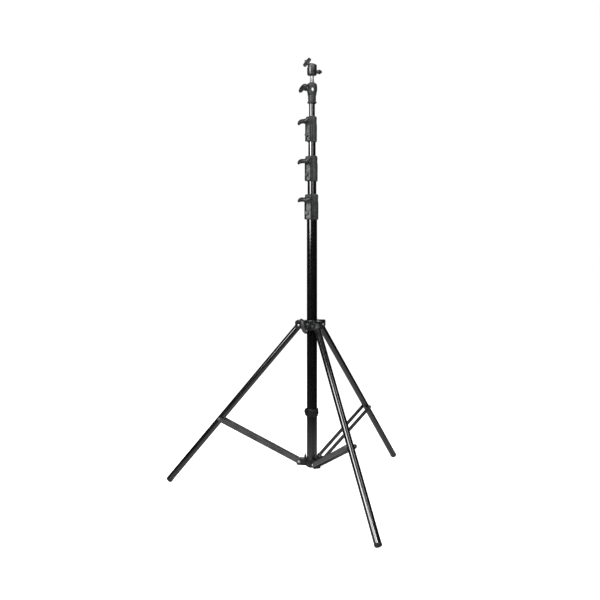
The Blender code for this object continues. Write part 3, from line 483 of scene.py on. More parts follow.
bodyOf = {node: body for body, nodes in frame["record"]["behaviour"]["bodies"].items() for node in nodes}
for node, solid in frame["nodes"].items():
    for index in range(len(solid.material_slots)):
        solid.material_slots[index].material = finishes[slotOf[node]]
print("finishes ready")


def dressNode(obj, node, finish=None):
    dress(obj, bodyOf[node], slotOf[node], finish or finishes[slotOf[node]], node)


def settle(obj, matrix, angle, node, finish=None):
    setPlace(obj, matrix)
    smoothIt(obj, angle)
    dressNode(obj, node, finish)


# tubes

def makeTube(node, wall=0.0015, edge=0.0003):
    low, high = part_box(node)
    radius = (high.x - low.x) / 2
    obj = turnProfile(node + "Visual", [
        (radius - wall, low.z + edge), (radius - wall + edge, low.z), (radius - edge, low.z),
        (radius, low.z + edge), (radius, high.z - edge), (radius - edge, high.z),
        (radius - wall + edge, high.z), (radius - wall, high.z - edge),
    ], 96, closed=True)
    smoothIt(obj, 40)
    dressNode(obj, node)


for node in ("column_tube", "riser_1_tube", "riser_2_tube", "riser_3_tube"):
    makeTube(node)
print("column and risers turned")


# clamp collars

collar = {"tall": 0.0857, "wall": 0.004, "lip": 0.006, "slit": 0.002, "clampAt": 0.065, "boltAt": 0.0215,
          "azimuths": [math.radians(a) for a in (-125, -131, -137)], "padReach": 0.0098,
          "padHalf": (0.0130, 0.0120, 0.0110), "bossRadius": 0.0092, "boltBoss": 0.0068, "bossProud": 0.0030,
          "slope": 0.0088}


def makeCollar(index, fixedRadius, slideRadius):
    node = "collar_%d_body" % index
    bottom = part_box(node)[0].z
    azimuth, half = collar["azimuths"][index - 1], collar["padHalf"][index - 1]
    tall, lip, clampAt = collar["tall"], collar["lip"], collar["clampAt"]
    bore, outside = fixedRadius + 0.0003, fixedRadius + collar["wall"]
    reach, top = fixedRadius + collar["padReach"], slideRadius + 0.0009
    body = turnProfile("collar%dCasting" % index, [
        (bore, 0.0006), (bore + 0.0006, 0), (outside - 0.0020, 0), (outside - 0.0006, 0.0006),
        (outside, 0.0020), (outside + 0.0003, tall * 0.3), (outside + 0.0004, tall * 0.6),
        (outside + 0.0001, tall * 0.68), (outside - 0.0008, tall * 0.78),
        (slideRadius + 0.0064, tall - 0.0070), (slideRadius + 0.0058, tall - 0.0035),
        (slideRadius + 0.0051, tall - 0.0012), (slideRadius + 0.0040, tall), (top + 0.0005, tall),
        (top, tall - 0.0005), (top, tall - lip), (bore, tall - lip),
    ], 96, closed=True)
    root = slideRadius * 0.6
    pad = sidePlate("pad", [(root, 0.0008), (reach - 0.0015, 0.0008), (reach, 0.0025), (reach, clampAt + 0.006),
                            (slideRadius + 0.007, tall - 0.001), (root, tall - 0.001)], half, 0, 0.0016, 4)
    hollow = turnProfile("hollow", [(0, -0.01), (bore, -0.01), (bore, tall - lip), (top, tall - lip),
                                    (top, tall + 0.01), (0, tall + 0.01)], 96)
    cutFrom(pad, hollow)
    slope = softBox("slope", (0.02, 0.03, 2 * tall), (0.01, -0.005, 0))
    setPlace(slope, moveBy(reach, -half + collar["slope"], 0) @ spinBy(math.radians(-6)))
    cutFrom(pad, slope)
    addTo(body, pad)
    for level, radius in ((clampAt, collar["bossRadius"]), (collar["boltAt"], collar["boltBoss"])):
        boss = rodAlong("boss", radius, fixedRadius + 0.002, reach + collar["bossProud"], "X", 64, 0.0007)
        addTo(body, raiseBy(boss, level))
    for level, radius in ((clampAt, 0.0043), (collar["boltAt"], 0.0033)):
        hole = rodAlong("hole", radius, slideRadius * 0.6, reach + 0.01, "X", 40)
        cutFrom(body, raiseBy(hole, level))
    slitTurn = spinBy(math.asin((half + collar["slit"]) / outside))
    slit = softBox("slit", (0.03, collar["slit"], tall + 0.02), (slideRadius * 0.6 + 0.015, 0, tall / 2))
    cutFrom(body, setPlace(slit, slitTurn))
    dress(body, bodyOf[node], slotOf[node], finishes["casting"], node)
    body.data.materials.append(finishes["pad"])
    body.data.materials.append(finishes["moulded"])
    body.data.materials.append(finishes["baseCasting"])
    # the flat face of the pad gets a paler copy of the casting paint as a painted highlight, its slope the
    # darker base casting as painted shade, and the slit's walls black nylon as painted shade
    for face in body.data.polygons:
        if face.normal.x > 0.97 and reach - 0.0010 < face.center.x < reach + 0.0002:
            face.material_index = 1 if face.normal.x > 0.998 else 3
        # the slit's walls get black nylon: painted shade inside the slit
        spot, facing = slitTurn.inverted() @ face.center, slitTurn.inverted().to_3x3() @ face.normal
        if spot.x > 0 and abs(abs(spot.y) - collar["slit"] / 2) < 0.0002 and abs(facing.y) > 0.97:
            face.material_index = 2
    setPlace(body, moveBy(0, 0, bottom) @ spinBy(azimuth))
    smoothIt(body, 32)


tubeRadii = (base["columnRadius"], 0.015, 0.0125, 0.01)
for index in (1, 2, 3):
    makeCollar(index, tubeRadii[index - 1], tubeRadii[index])
print("collars made")


fixingBolt = {"flats": 0.0100, "head": 0.0042, "shank": 0.003}


def makeFixingBolt(index, fixedRadius):
    node = "collar_%d_bolt" % index
    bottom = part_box("collar_%d_body" % index)[0].z
    start = fixedRadius + collar["padReach"] + collar["bossProud"] + 0.0003
    corner, tip = fixingBolt["flats"] / math.sqrt(3), start + fixingBolt["head"]
    head = rodAlong("collar%dBolt" % index, corner, start + 0.0007, tip, "Z", 6)
    crown = turnProfile("crown", [(0, start), (corner * 1.02, start), (corner * 1.02, start + 0.0030),
                                  (corner * 0.86, tip - 0.0002), (corner * 0.84, tip), (0, tip)], 64)
    applyBoolean(head, crown, "INTERSECT")
    washer = rodAlong("washer", 0.0060, start, start + 0.0009, "Z", 48, 0.0002)
    shank = rodAlong("shank", fixingBolt["shank"], fixedRadius + 0.0003, start + 0.001, "Z", 32)
    addTo(head, washer)
    addTo(head, shank)
    cutFrom(head, rodAlong("socket", 0.0026, tip - 0.0022, tip + 0.01, "Z", 6))
    turned = spinBy(collar["azimuths"][index - 1]) @ spinBy(math.pi / 2, "Y")
    settle(head, moveBy(0, 0, bottom + collar["boltAt"]) @ turned, 30, node, finishes["oxide"])


for index in (1, 2, 3):
    makeFixingBolt(index, tubeRadii[index - 1])


# tee handles

handle = {"hub": 0.0083, "reach": 0.015, "half": 0.0275, "thick": 0.0058, "wide": 0.0066, "bow": -0.0030,
          "sweep": 0.0030, "screw": 0.004, "washer": 0.0082, "washerThick": 0.0016, "ripple": 0.05}


def makeHandle(name, node, level, azimuth, tip, seat, turn, ripple=handle["ripple"], full=1.0,
               sweep=handle["sweep"]):
    face = seat + 0.0003
    hub = face + handle["washerThick"]
    # the grip: a long ball whose arms sweep opposite ways and hook in at their ends
    deselectAll()
    bpy.ops.mesh.primitive_uv_sphere_add(segments=40, ring_count=64, radius=1)
    grip = nameIt(name + "Grip")
    bpy.ops.object.mode_set(mode="EDIT")
    mesh = bmesh.from_edit_mesh(grip.data)
    for v in mesh.verts:
        share = v.co.z
        across = math.hypot(v.co.x, v.co.y)
        flat = max(1 - abs(share) ** 12, 0) ** 0.5 * (1.2 - 0.42 * share ** 2) * full
        side = Vector((v.co.x, v.co.y)) / across * flat if across > 1e-6 else Vector((0, 0))
        wave = 1 - ripple * (1 - math.cos(8 * math.pi * share)) * 0.5 * max(0.0, -side.x)  # finger waves inside
        v.co = Vector((side.x * handle["thick"] * wave + handle["reach"] + handle["bow"] * share ** 2,
                       side.y * handle["wide"] + sweep * math.sin(math.pi * share),
                       share * handle["half"]))
    bmesh.update_edit_mesh(grip.data)
    bpy.ops.object.mode_set(mode="OBJECT")
    stem = turnProfile("stem", [
        (0, 0), (handle["hub"] - 0.0006, 0), (handle["hub"], 0.0006), (handle["hub"], 0.0030),
        (handle["hub"] - 0.0004, 0.0040), (handle["hub"] * 0.88, 0.0072), (handle["hub"] * 0.78, 0.0110),
        (handle["hub"] * 0.70, handle["reach"]), (0, handle["reach"])], 64)
    addTo(grip, setPlace(stem, spinBy(math.pi / 2, "Y")))
    for i in range(8):  # the stem is fluted where it leaves the grip
        flute = rodAlong("flute", 0.0011, -0.001, 0.0036, "X", 16)
        cutFrom(grip, setPlace(flute, spinBy(math.tau * i / 8, "X")
                               @ moveBy(0, 0, handle["hub"] + 0.0004)))
    axis = moveBy(0, 0, level) @ spinBy(azimuth)
    settle(grip, axis @ moveBy(hub, 0, 0) @ spinBy(turn, "X"), 40, node)
    screw = turnProfile(name + "Screw", [
        (0, tip + 0.0003), (handle["screw"] - 0.0008, tip + 0.0003), (handle["screw"], tip + 0.0011),
        (handle["screw"], face), (handle["washer"] - 0.0003, face), (handle["washer"], face + 0.0003),
        (handle["washer"], hub - 0.0005), (handle["washer"] - 0.0003, hub - 0.0002), (0, hub - 0.0002)], 48)
    setPlace(screw, axis @ spinBy(math.pi / 2, "Y"))
    smoothIt(screw, 35)
    dress(screw, bodyOf[node], "steel", finishes["dull"])


for index, turn in ((1, -80), (2, -76), (3, -74)):
    makeHandle("collar%dHandle" % index, "collar_%d_knob" % index,
               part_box("collar_%d_body" % index)[0].z + collar["clampAt"], collar["azimuths"][index - 1],
               tubeRadii[index], tubeRadii[index - 1] + collar["padReach"] + collar["bossProud"],
               math.radians(turn))
makeHandle("hubHandle", "hub_knob", base["hubPivotHeight"], math.radians(-130), base["columnRadius"], 0.030,
           math.radians(28.7))
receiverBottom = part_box("receiver_body")[0].z
makeHandle("receiverHandle", "receiver_knob", receiverBottom + 0.050, math.radians(-155), 0.0053, 0.019,
           math.radians(-78), 0.30, 1.10, -0.0012)
print("handles made")


# castings of the base

def atEachLeg(body, makeShape, join):
    # the same shape at each leg's azimuth, joined to the casting or cut from it
    first = makeShape()
    for azimuth in base["azimuths"]:
        join(body, setPlace(copyPiece(first, "arm"), spinBy(azimuth)))
    bpy.data.objects.remove(first, do_unlink=True)


def pivotHole(radius, reach, pivot):
    return setPlace(rodAlong("hole", radius, -reach, reach, "Y", 48), moveBy(pivot, 0, 0))


hub = {"wall": 0.0057, "below": 0.0165, "above": 0.0175, "inside": 0.0114, "cheek": 0.004, "endRadius": 0.0125,
       "web": 0.0045, "azimuth": math.radians(-130), "boxReach": 0.027, "boxHalf": 0.015, "bossReach": 0.030,
       "bossRadius": 0.0092, "grooveAt": 0.0113, "grooveWide": 0.0014, "grooveDeep": 0.001, "pin": 0.0035}


def makeHub():
    bore, outside = base["columnRadius"] + 0.0003, base["columnRadius"] + hub["wall"]
    low, high, pivot = -hub["below"], hub["above"], base["hubPivotRadius"]
    body = turnProfile("hubCasting", [
        (0, low), (outside - 0.0010, low), (outside - 0.0003, low + 0.0003), (outside, low + 0.0010),
        (outside, high - 0.0015), (outside - 0.0004, high - 0.0005), (outside - 0.0015, high), (0, high)], 96)
    root, far = base["columnRadius"] + hub["wall"] / 2, pivot + hub["endRadius"]
    outline = [(root, low), (outside + 0.001, low)] + arcPoints((pivot, 0), hub["endRadius"], -115, 0, 20)
    outline += arcPoints((far - 0.006, high - 0.007), 0.006, 0, 90, 10) + [(root, high - 0.001)]
    atEachLeg(body, lambda: sidePlate("fork", outline, hub["inside"] + hub["cheek"], 0, 0.0011, 3), addTo)
    start = base["columnRadius"] + 0.002
    box = softBox("box", (hub["boxReach"] - start, 2 * hub["boxHalf"], high - low - 0.006),
                  ((hub["boxReach"] + start) / 2, 0, (high - 0.004 + low + 0.002) / 2), 0.0016, 4)
    addTo(body, setPlace(box, spinBy(hub["azimuth"])))
    boss = rodAlong("boss", hub["bossRadius"], start, hub["bossReach"], "X", 64, 0.0006)
    addTo(body, setPlace(boss, spinBy(hub["azimuth"])))
    back, front = outside + 0.002, pivot + 0.004
    slot = [(back, 2 * low), (pivot + 0.025, 2 * low), (pivot + 0.025, 2 * high), (front, 2 * high),
            (front, high - hub["web"]), (back, high - hub["web"])]
    atEachLeg(body, lambda: sidePlate("slot", slot, hub["inside"]), cutFrom)
    for side in (-hub["grooveAt"], hub["grooveAt"]):
        groove = softBox("groove", (2 * hub["grooveDeep"], hub["grooveWide"], high - low),
                         (hub["boxReach"], side, 0.0005))
        cutFrom(body, setPlace(groove, spinBy(hub["azimuth"])))
    atEachLeg(body, lambda: pivotHole(hub["pin"] + 0.0003, 0.018, pivot), cutFrom)
    hole = rodAlong("hole", 0.0043, base["columnRadius"] / 2, hub["bossReach"] + 0.002, "X", 48)
    cutFrom(body, setPlace(hole, spinBy(hub["azimuth"])))
    cutFrom(body, rodAlong("bore", bore, low - 0.002, high + 0.002, "Z", 96))
    settle(body, moveBy(0, 0, base["hubPivotHeight"]), 30, "hub_body", finishes["baseCasting"])


spider = {"wall": 0.004, "below": 0.0140, "above": 0.0110, "lugHalf": 0.0115, "lugEnd": 0.009,
          "lugAbove": 0.0100, "lugBelow": 0.0122, "corner": 0.005, "pocketWall": 0.004, "finTall": 0.0145,
          "finThick": 0.0025, "finSide": 0.008, "pin": 0.003}


def makeSpider():
    bore, outside = base["columnRadius"] + 0.0003, base["columnRadius"] + spider["wall"]
    low, high, pivot = -spider["below"], spider["above"], base["spiderPivotRadius"]
    body = turnProfile("spiderCasting", [
        (0, low), (outside - 0.0015, low), (outside - 0.0004, low + 0.0005), (outside, low + 0.0015),
        (outside, high - 0.0010), (outside - 0.0003, high - 0.0003), (outside - 0.0010, high), (0, high)], 96)
    root, corner, lugTop = base["columnRadius"] + spider["wall"] / 2, spider["corner"], spider["lugAbove"]
    middle = pivot + spider["lugEnd"] - corner
    outline = [(root, -spider["lugBelow"])]
    outline += arcPoints((middle, corner - spider["lugBelow"]), corner, -90, 0, 12)
    outline += arcPoints((middle, lugTop - corner), corner, 0, 90, 12) + [(root, lugTop)]
    atEachLeg(body, lambda: sidePlate("lug", outline, spider["lugHalf"], 0, 0.0011, 3), addTo)
    foot, tip = lugTop - 0.001, lugTop + spider["finTall"]
    fin = [(root, foot), (root + 0.0075, foot), (root + 0.0060, foot + 0.0050), (root + 0.0049, tip - 0.0012),
           (root + 0.0045, tip - 0.0003), (root + 0.0040, tip), (root + 0.0035, tip - 0.0003)]
    for side in (-spider["finSide"], spider["finSide"]):
        atEachLeg(body, lambda: sidePlate("fin", fin, spider["finThick"] / 2, side), addTo)
    pocketWall = spider["pocketWall"]
    near, far, half = outside + 0.002, pivot - spider["pin"] - pocketWall, spider["lugHalf"] - pocketWall
    top, deep = lugTop - pocketWall, -2 * spider["lugBelow"]
    size, centre = (far - near, 2 * half, top - deep), ((far + near) / 2, 0, (top + deep) / 2)
    atEachLeg(body, lambda: softBox("pocket", size, centre, 0.0012, 3), cutFrom)
    atEachLeg(body, lambda: pivotHole(spider["pin"] + 0.0003, 0.0125, pivot), cutFrom)
    cutFrom(body, rodAlong("bore", bore, low - 0.001, high + 0.001, "Z", 96))
    settle(body, moveBy(0, 0, base["spiderPivotHeight"]), 30, "spider", finishes["baseCasting"])


stopRing = {"at": 0.170, "tall": 0.026, "wall": 0.0028, "lobeReach": 0.0250, "lobeHalf": 0.008,
            "screwAzimuth": math.radians(-10), "screw": 0.003}


def makeStopRing():
    tall, outside = stopRing["tall"], base["columnRadius"] + stopRing["wall"]
    body = turnProfile("stopRingCasting", [
        (0, 0), (outside - 0.0015, 0), (outside - 0.0006, 0.0016), (outside, 0.004), (outside, tall - 0.003),
        (outside - 0.0004, tall - 0.0010), (outside - 0.0012, tall), (0, tall)], 96)
    root, far = base["columnRadius"] + stopRing["wall"] / 2, stopRing["lobeReach"]
    lobe = [(root, 0.08 * tall), (root + 0.0022, 0.08 * tall), (far - 0.0006, 0.50 * tall), (far, 0.55 * tall),
            (far, 0.79 * tall), (far - 0.0005, 0.82 * tall), (root + 0.0040, 0.95 * tall),
            (root + 0.0033, 0.96 * tall), (root, 0.96 * tall)]
    atEachLeg(body, lambda: sidePlate("lobe", lobe, stopRing["lobeHalf"], 0, 0.0006, 2), addTo)
    bossEnd = outside + 0.0015
    boss = rodAlong("boss", 0.006, root, bossEnd, "X", 48, 0.0004)
    spot = spinBy(stopRing["screwAzimuth"]) @ moveBy(0, 0, tall / 2)
    addTo(body, setPlace(boss, spot))
    cutFrom(body, setPlace(rodAlong("hole", stopRing["screw"] + 0.0003, 0.005, bossEnd + 0.001, "X", 40), spot))
    cutFrom(body, rodAlong("bore", base["columnRadius"] + 0.0003, -0.001, tall + 0.001, "Z", 96))
    settle(body, moveBy(0, 0, stopRing["at"]), 30, "hub_stop_ring", finishes["ring"])

    screw = rodAlong("stopRingScrew", stopRing["screw"], base["columnRadius"] + 0.0003, bossEnd - 0.0005,
                     "Z", 40, 0.0003)
    cutFrom(screw, rodAlong("socket", 0.0016, bossEnd - 0.0022, bossEnd, "Z", 6))
    settle(screw, spot @ spinBy(math.pi / 2, "Y"), 30, "hub_stop_ring_screw", finishes["oxide"])


makeHub()
makeSpider()
makeStopRing()
print("base castings made")


def legPlace(azimuth):
    return spinBy(azimuth) @ moveBy(base["hubPivotRadius"], 0, base["hubPivotHeight"]) @ spinBy(-legAngle, "Y")


def bracePlace(azimuth):
    pivot = moveBy(base["spiderPivotRadius"], 0, base["spiderPivotHeight"])
    return spinBy(azimuth) @ pivot @ spinBy(-braceRise, "Y")


leg = {"radius": 0.011, "wall": 0.0015, "long": 0.7202, "start": 0.0145, "plugDeep": 0.028, "pin": 0.0035,
       "foot": 0.0114, "cap": 0.0075, "round": 0.004, "footPlug": 0.020}


def makeLeg(number, azimuth):
    name = "leg%d" % number
    r, w, start, cap = leg["radius"], leg["wall"], -leg["start"], leg["cap"] - leg["long"]
    end, neck = cap + 0.0003, r - w - 0.0003
    tube = turnProfile(name + "Tube", [
        (r - w, end + 0.0003), (r - w + 0.0003, end), (r - 0.0003, end), (r, end + 0.0003), (r, start - 0.0004),
        (r - 0.0004, start), (r - w, start)], 96, closed=True)
    cutFrom(tube, raiseBy(rodAlong("hole", 0.003, -0.02, 0.02, "Y", 40), -base["braceOnLeg"]))
    settle(tube, legPlace(azimuth), 40, "leg_%d_tube" % number)

    rim, bend, plugTop = leg["foot"], leg["round"], cap + leg["footPlug"]
    outline = [(0, -leg["long"])] + arcPoints((rim - bend, bend - leg["long"]), bend, -90, 0, 10)
    outline += [(rim, cap - 0.0028), (rim - 0.0004, cap - 0.0024), (rim - 0.0004, cap - 0.0018),
                (rim, cap - 0.0014), (rim, cap - 0.0004), (rim - 0.0004, cap), (neck, cap),
                (neck, plugTop - 0.001), (neck - 0.001, plugTop), (0, plugTop)]
    foot = turnProfile(name + "Foot", outline, 80)
    settle(foot, legPlace(azimuth), 35, "leg_%d_foot" % number)

    shoulder = start + 0.0003
    end = turnProfile(name + "HingeEnd", [
        (0, r), (r, r), (r, shoulder), (neck, shoulder), (neck, start - leg["plugDeep"]),
        (0, start - leg["plugDeep"])], 96)
    flat = r - 0.0001
    tongue = sidePlate("tongue", arcPoints((0, 0), flat, 0, 180, 32) + [(-flat, -0.07), (flat, -0.07)], 0.02)
    applyBoolean(end, tongue, "INTERSECT")
    cutFrom(end, rodAlong("hole", leg["pin"] + 0.0003, -0.02, 0.02, "Y", 40))
    settle(end, legPlace(azimuth), 30, "leg_%d_hinge_end" % number)


for number, azimuth in enumerate(base["azimuths"], start=1):
    makeLeg(number, azimuth)
print("legs made")


pin = {"spider": (0.0144, 0.003), "hub": (0.0154, 0.0035), "head": 0.0044, "headTall": 0.0024}


def makePin(kind, number, azimuth):
    side, radius = pin[kind]
    near, headRadius, tall = side + 0.0003, pin["head"], pin["headTall"]
    half = [(0, near + tall), (headRadius * 0.35, near + tall * 0.97), (headRadius * 0.62, near + tall * 0.82),
            (headRadius * 0.84, near + tall * 0.55), (headRadius * 0.96, near + tall * 0.25),
            (headRadius, near), (radius, near)]
    outline = half + [(r, -z) for r, z in reversed(half)]
    rivet = turnProfile(kind + "Pin%d" % number, outline[::-1], 40)
    pivot, level = ((base["spiderPivotRadius"], base["spiderPivotHeight"]) if kind == "spider"
                    else (base["hubPivotRadius"], base["hubPivotHeight"]))
    setPlace(rivet, spinBy(azimuth) @ moveBy(pivot, 0, level) @ spinBy(-math.pi / 2, "X"))
    smoothIt(rivet, 50)
    dark = kind == "hub" and number == 1  # the front hub pin alone gets the black oxide finish as painted shade; the pins are alike
    dressNode(rivet, "%s_pin_%d" % (kind, number), finishes["oxide" if dark else "dull"])


brace = {"half": 0.007, "thick": 0.0025, "atSpider": 0.0119, "atLeg": 0.01375, "pin": 0.003, "head": 0.0052,
         "spacer": 0.005}


def makeBar(number, azimuth, side):
    # a flat strip with round ends, its long edges rolled over a little
    length, half, thick = base["braceLength"], brace["half"], brace["thick"]
    bar = softBox("brace%d%sBar" % (number, side.title()), (length, thick, 2 * half),
                  (length / 2, thick / 2, 0))
    for x in (0, length):
        end = rodAlong("end", half, 0, thick, "Y", 64)
        addTo(bar, setPlace(end, moveBy(x, 0, 0)))
    # two rolled ribs stiffen the strip
    for level in (-half * 0.45, half * 0.45):
        groove = softBox("groove", (length - 0.045, 0.0010, 0.0012), (length / 2, thick, level), 0.0003, 2)
        cutFrom(bar, groove)
    for x in (0, length):
        hole = rodAlong("hole", brace["pin"] + 0.0003, -0.01, 0.01, "Y", 32)
        cutFrom(bar, setPlace(hole, moveBy(x, 0, 0)))
    roundEdges(bar, 0.0004, 2, 60)
    lean = math.atan2(brace["atLeg"] - brace["atSpider"], length)
    setPlace(bar, moveBy(0, brace["atSpider"], 0) @ spinBy(lean))
    if side == "right":
        setPlace(bar, Matrix.Scale(-1, 4, Vector((0, 1, 0))))
        editAll()
        endEdit()
    settle(bar, bracePlace(azimuth), 30, "brace_%d_%s_bar" % (number, side))


def makeBraceBolt(number, azimuth, side):
    inner, wall = leg["radius"] + 0.0003, brace["atLeg"]
    outer = wall + brace["thick"] + 0.0003
    head, spacer = brace["head"], brace["spacer"]
    outline = [(0, inner), (spacer - 0.0002, inner), (spacer, inner + 0.0002), (spacer, wall - 0.0005),
               (spacer - 0.0002, wall - 0.0003), (0.003, wall - 0.0003), (0.003, outer), (head - 0.0002, outer),
               (head, outer + 0.0003), (head, outer + 0.0008), (head * 0.93, outer + 0.0020),
               (head * 0.80, outer + 0.0030), (head * 0.55, outer + 0.0036), (0, outer + 0.0036)]
    bolt = turnProfile("brace%d%sBolt" % (number, side.title()), outline, 40)
    cutFrom(bolt, rodAlong("socket", 0.0021, outer + 0.0016, outer + 0.01, "Z", 6))
    way = 1 if side == "left" else -1
    settle(bolt, bracePlace(azimuth) @ moveBy(base["braceLength"], 0, 0) @ spinBy(-way * math.pi / 2, "X"),
           35, "brace_%d_%s_bolt" % (number, side), finishes["oxide"])


for number, azimuth in enumerate(base["azimuths"], start=1):
    makePin("spider", number, azimuth)
    makePin("hub", number, azimuth)
    for side in ("left", "right"):
        makeBar(number, azimuth, side)
        makeBraceBolt(number, azimuth, side)
print("braces and pins made")


# top casting and spigot

receiver = {"tall": 0.0715, "seat": 0.0235, "radius": 0.0178, "neck": 0.0132, "flange": 0.0162,
            "slotAt": 0.050, "slotTall": 0.0168, "slotWide": 0.0066, "slotX": 0.002, "mouth": 0.0026,
            "azimuth": math.radians(-155), "bossReach": 0.019}


def makeReceiver():
    tube, tall, radius, neck = 0.0103, receiver["tall"], receiver["radius"], receiver["neck"]
    flange, slotAt, slotX = receiver["flange"], receiver["slotAt"], receiver["slotX"]
    aside = spinBy(receiver["azimuth"]) @ moveBy(0, 0, slotAt)
    body = turnProfile("receiverCasting", [
        (0, 0), (0.0110, 0), (flange - 0.0008, 0.0032), (flange, 0.0040), (flange, 0.0055),
        (flange - 0.0007, 0.0062), (neck + 0.0005, 0.0076), (neck, 0.0084),
        (neck + 0.0004, tall * 0.37), (neck + 0.0006, 0.0284), (neck + 0.0004, 0.0290), (neck + 0.0014, 0.0294),
        (neck + 0.0024, 0.0300), (neck + 0.0026, 0.0306), (neck + 0.0022, 0.0312), (neck + 0.0012, 0.0318),
        (neck + 0.0020, 0.0345), (radius - 0.0018, tall * 0.54), (radius - 0.0006, slotAt - 0.0055),
        (radius, slotAt), (radius - 0.0003, slotAt + 0.0085), (radius - 0.0012, tall - 0.0055),
        (radius - 0.0022, tall - 0.0044), (0.0094, tall - 0.0002), (0.0086, tall), (0, tall)], 96)
    boss = rodAlong("boss", 0.0074, radius / 2, receiver["bossReach"], "X", 48, 0.0006)
    addTo(body, setPlace(boss, aside))
    half = receiver["slotWide"] / 2
    straight = receiver["slotTall"] / 2 - half
    slot = softBox("slot", (2 * half, 0.06, 2 * straight), (0, 0, 0))
    for level in (-straight, straight):
        addTo(slot, setPlace(rodAlong("end", half, -0.03, 0.03, "Y", 48), moveBy(0, 0, level)))
    cutFrom(body, setPlace(slot, moveBy(slotX, 0, slotAt)))
    # a wider, shallow mouth on both faces of the slot
    for way in (-1, 1):
        wide = half + receiver["mouth"]
        mouth = softBox("mouth", (2 * wide, 0.010, 2 * straight), (0, 0, 0))
        for level in (-straight, straight):
            addTo(mouth, setPlace(rodAlong("end", wide, -0.005, 0.005, "Y", 64), moveBy(0, 0, level)))
        cutFrom(body, setPlace(mouth, moveBy(slotX, way * (radius + 0.0018), slotAt)))
    cutFrom(body, rodAlong("tube", tube, -0.01, receiver["seat"] + 0.0003, "Z", 96))
    cutFrom(body, rodAlong("stud", 0.0043, tall - 0.0093, tall + 0.01, "Z", 48))
    cutFrom(body, setPlace(rodAlong("hole", 0.0043, 0.002, 0.03, "X", 32), aside))
    dressNode(body, "receiver_body", finishes["topCasting"])
    body.data.materials.append(finishes["moulded"])
    for face in body.data.polygons:  # the mouth and the walls of the slot get black nylon as painted shade
        across, up = face.center.x - slotX, face.center.z - slotAt
        inside = math.hypot(across, max(abs(up) - straight, 0)) < half + receiver["mouth"] + 0.0001
        if inside and math.hypot(face.center.x, face.center.y) < radius - 0.0006:
            face.material_index = 1
    raiseBy(body, receiverBottom)
    smoothIt(body, 30)


makeReceiver()

spigot = {"base": 0.0079, "baseTall": 0.006, "radius": 0.00675, "tall": 0.0234, "stud": 0.004,
          "studDeep": 0.009}


def makeSpigot():
    foot, top = 0.0003, spigot["tall"] - 0.0003
    b, r, s = spigot["base"], spigot["radius"], spigot["stud"]
    deep, high = spigot["studDeep"], spigot["baseTall"]
    pinBody = turnProfile("topSpigot", [
        (0, -deep), (s - 0.0006, -deep), (s, -deep + 0.0006), (s, foot),
        (b - 0.0004, foot), (b, foot + 0.0004), (b, high - 0.0006), (b - 0.0005, high),
        (r + 0.0002, high + 0.0026), (r, high + 0.0032), (r, top - 0.0006),
        (r - 0.0006, top), (s, top), (s, top + deep - 0.0006), (s - 0.0006, top + deep),
        (0, top + deep)], 64)
    settle(pinBody, moveBy(0, 0, receiverBottom + receiver["tall"]), 35, "spigot")


makeSpigot()
print("top casting and spigot made")


# ball head

headBottom = receiverBottom + receiver["tall"] + spigot["tall"]
head = {"radius": 0.0165, "tall": 0.0398, "groove": 0.0072, "ball": 0.0115, "ballAt": 0.0316,
        "tilt": math.radians(49.6), "stem": 0.0045, "notch": 0.0075, "plate": 0.017, "plateStart": 0.017,
        "ring": 0.004, "plateThick": 0.005, "stemInPlate": 0.0027, "thread": 0.00315, "threadProud": 0.0065,
        "wingAt": 0.0132}


def makeHeadBody():
    r, tall, g = head["radius"], head["tall"], head["groove"]
    rounding = g - 0.0005
    outline = [(0, 0)] + arcPoints((r - rounding, rounding), rounding, -90, 0, 8)
    outline += [(r - 0.0008, g), (r - 0.0008, g + 0.0008), (r - 0.0002, g + 0.0010), (r, g + 0.0014)]
    outline += arcPoints((r - 0.0035, tall - 0.0055), 0.0035, 0, 75, 7)
    outline += [(head["ball"] - 0.002, tall), (0, tall)]
    body = turnProfile("headHousing", outline, 96)
    deselectAll()
    bpy.ops.mesh.primitive_uv_sphere_add(segments=64, ring_count=32, radius=head["ball"] + 0.0006,
                                         location=(0, 0, head["ballAt"]))
    socket = nameIt("socket")
    bpy.ops.object.transform_apply(location=True, rotation=True, scale=True)
    cutFrom(body, socket)
    notch = softBox("notch", (0.04, 2 * head["notch"], 0.04),
                    (-0.02, 0, head["ballAt"] - head["stem"] - 0.0006 + 0.02), 0.0008)
    cutFrom(body, notch)
    cutFrom(body, rodAlong("stud", 0.0043, -0.01, spigot["studDeep"] + 0.0003, "Z", 48))
    hole = rodAlong("hole", 0.0033, r - 0.0093, r + 0.01, "X", 32)
    cutFrom(body, raiseBy(hole, head["wingAt"]))
    settle(body, moveBy(0, 0, headBottom), 30, "head_body", finishes["headShell"])


def headPlace():
    return moveBy(0, 0, headBottom + head["ballAt"]) @ spinBy(-head["tilt"], "Y")


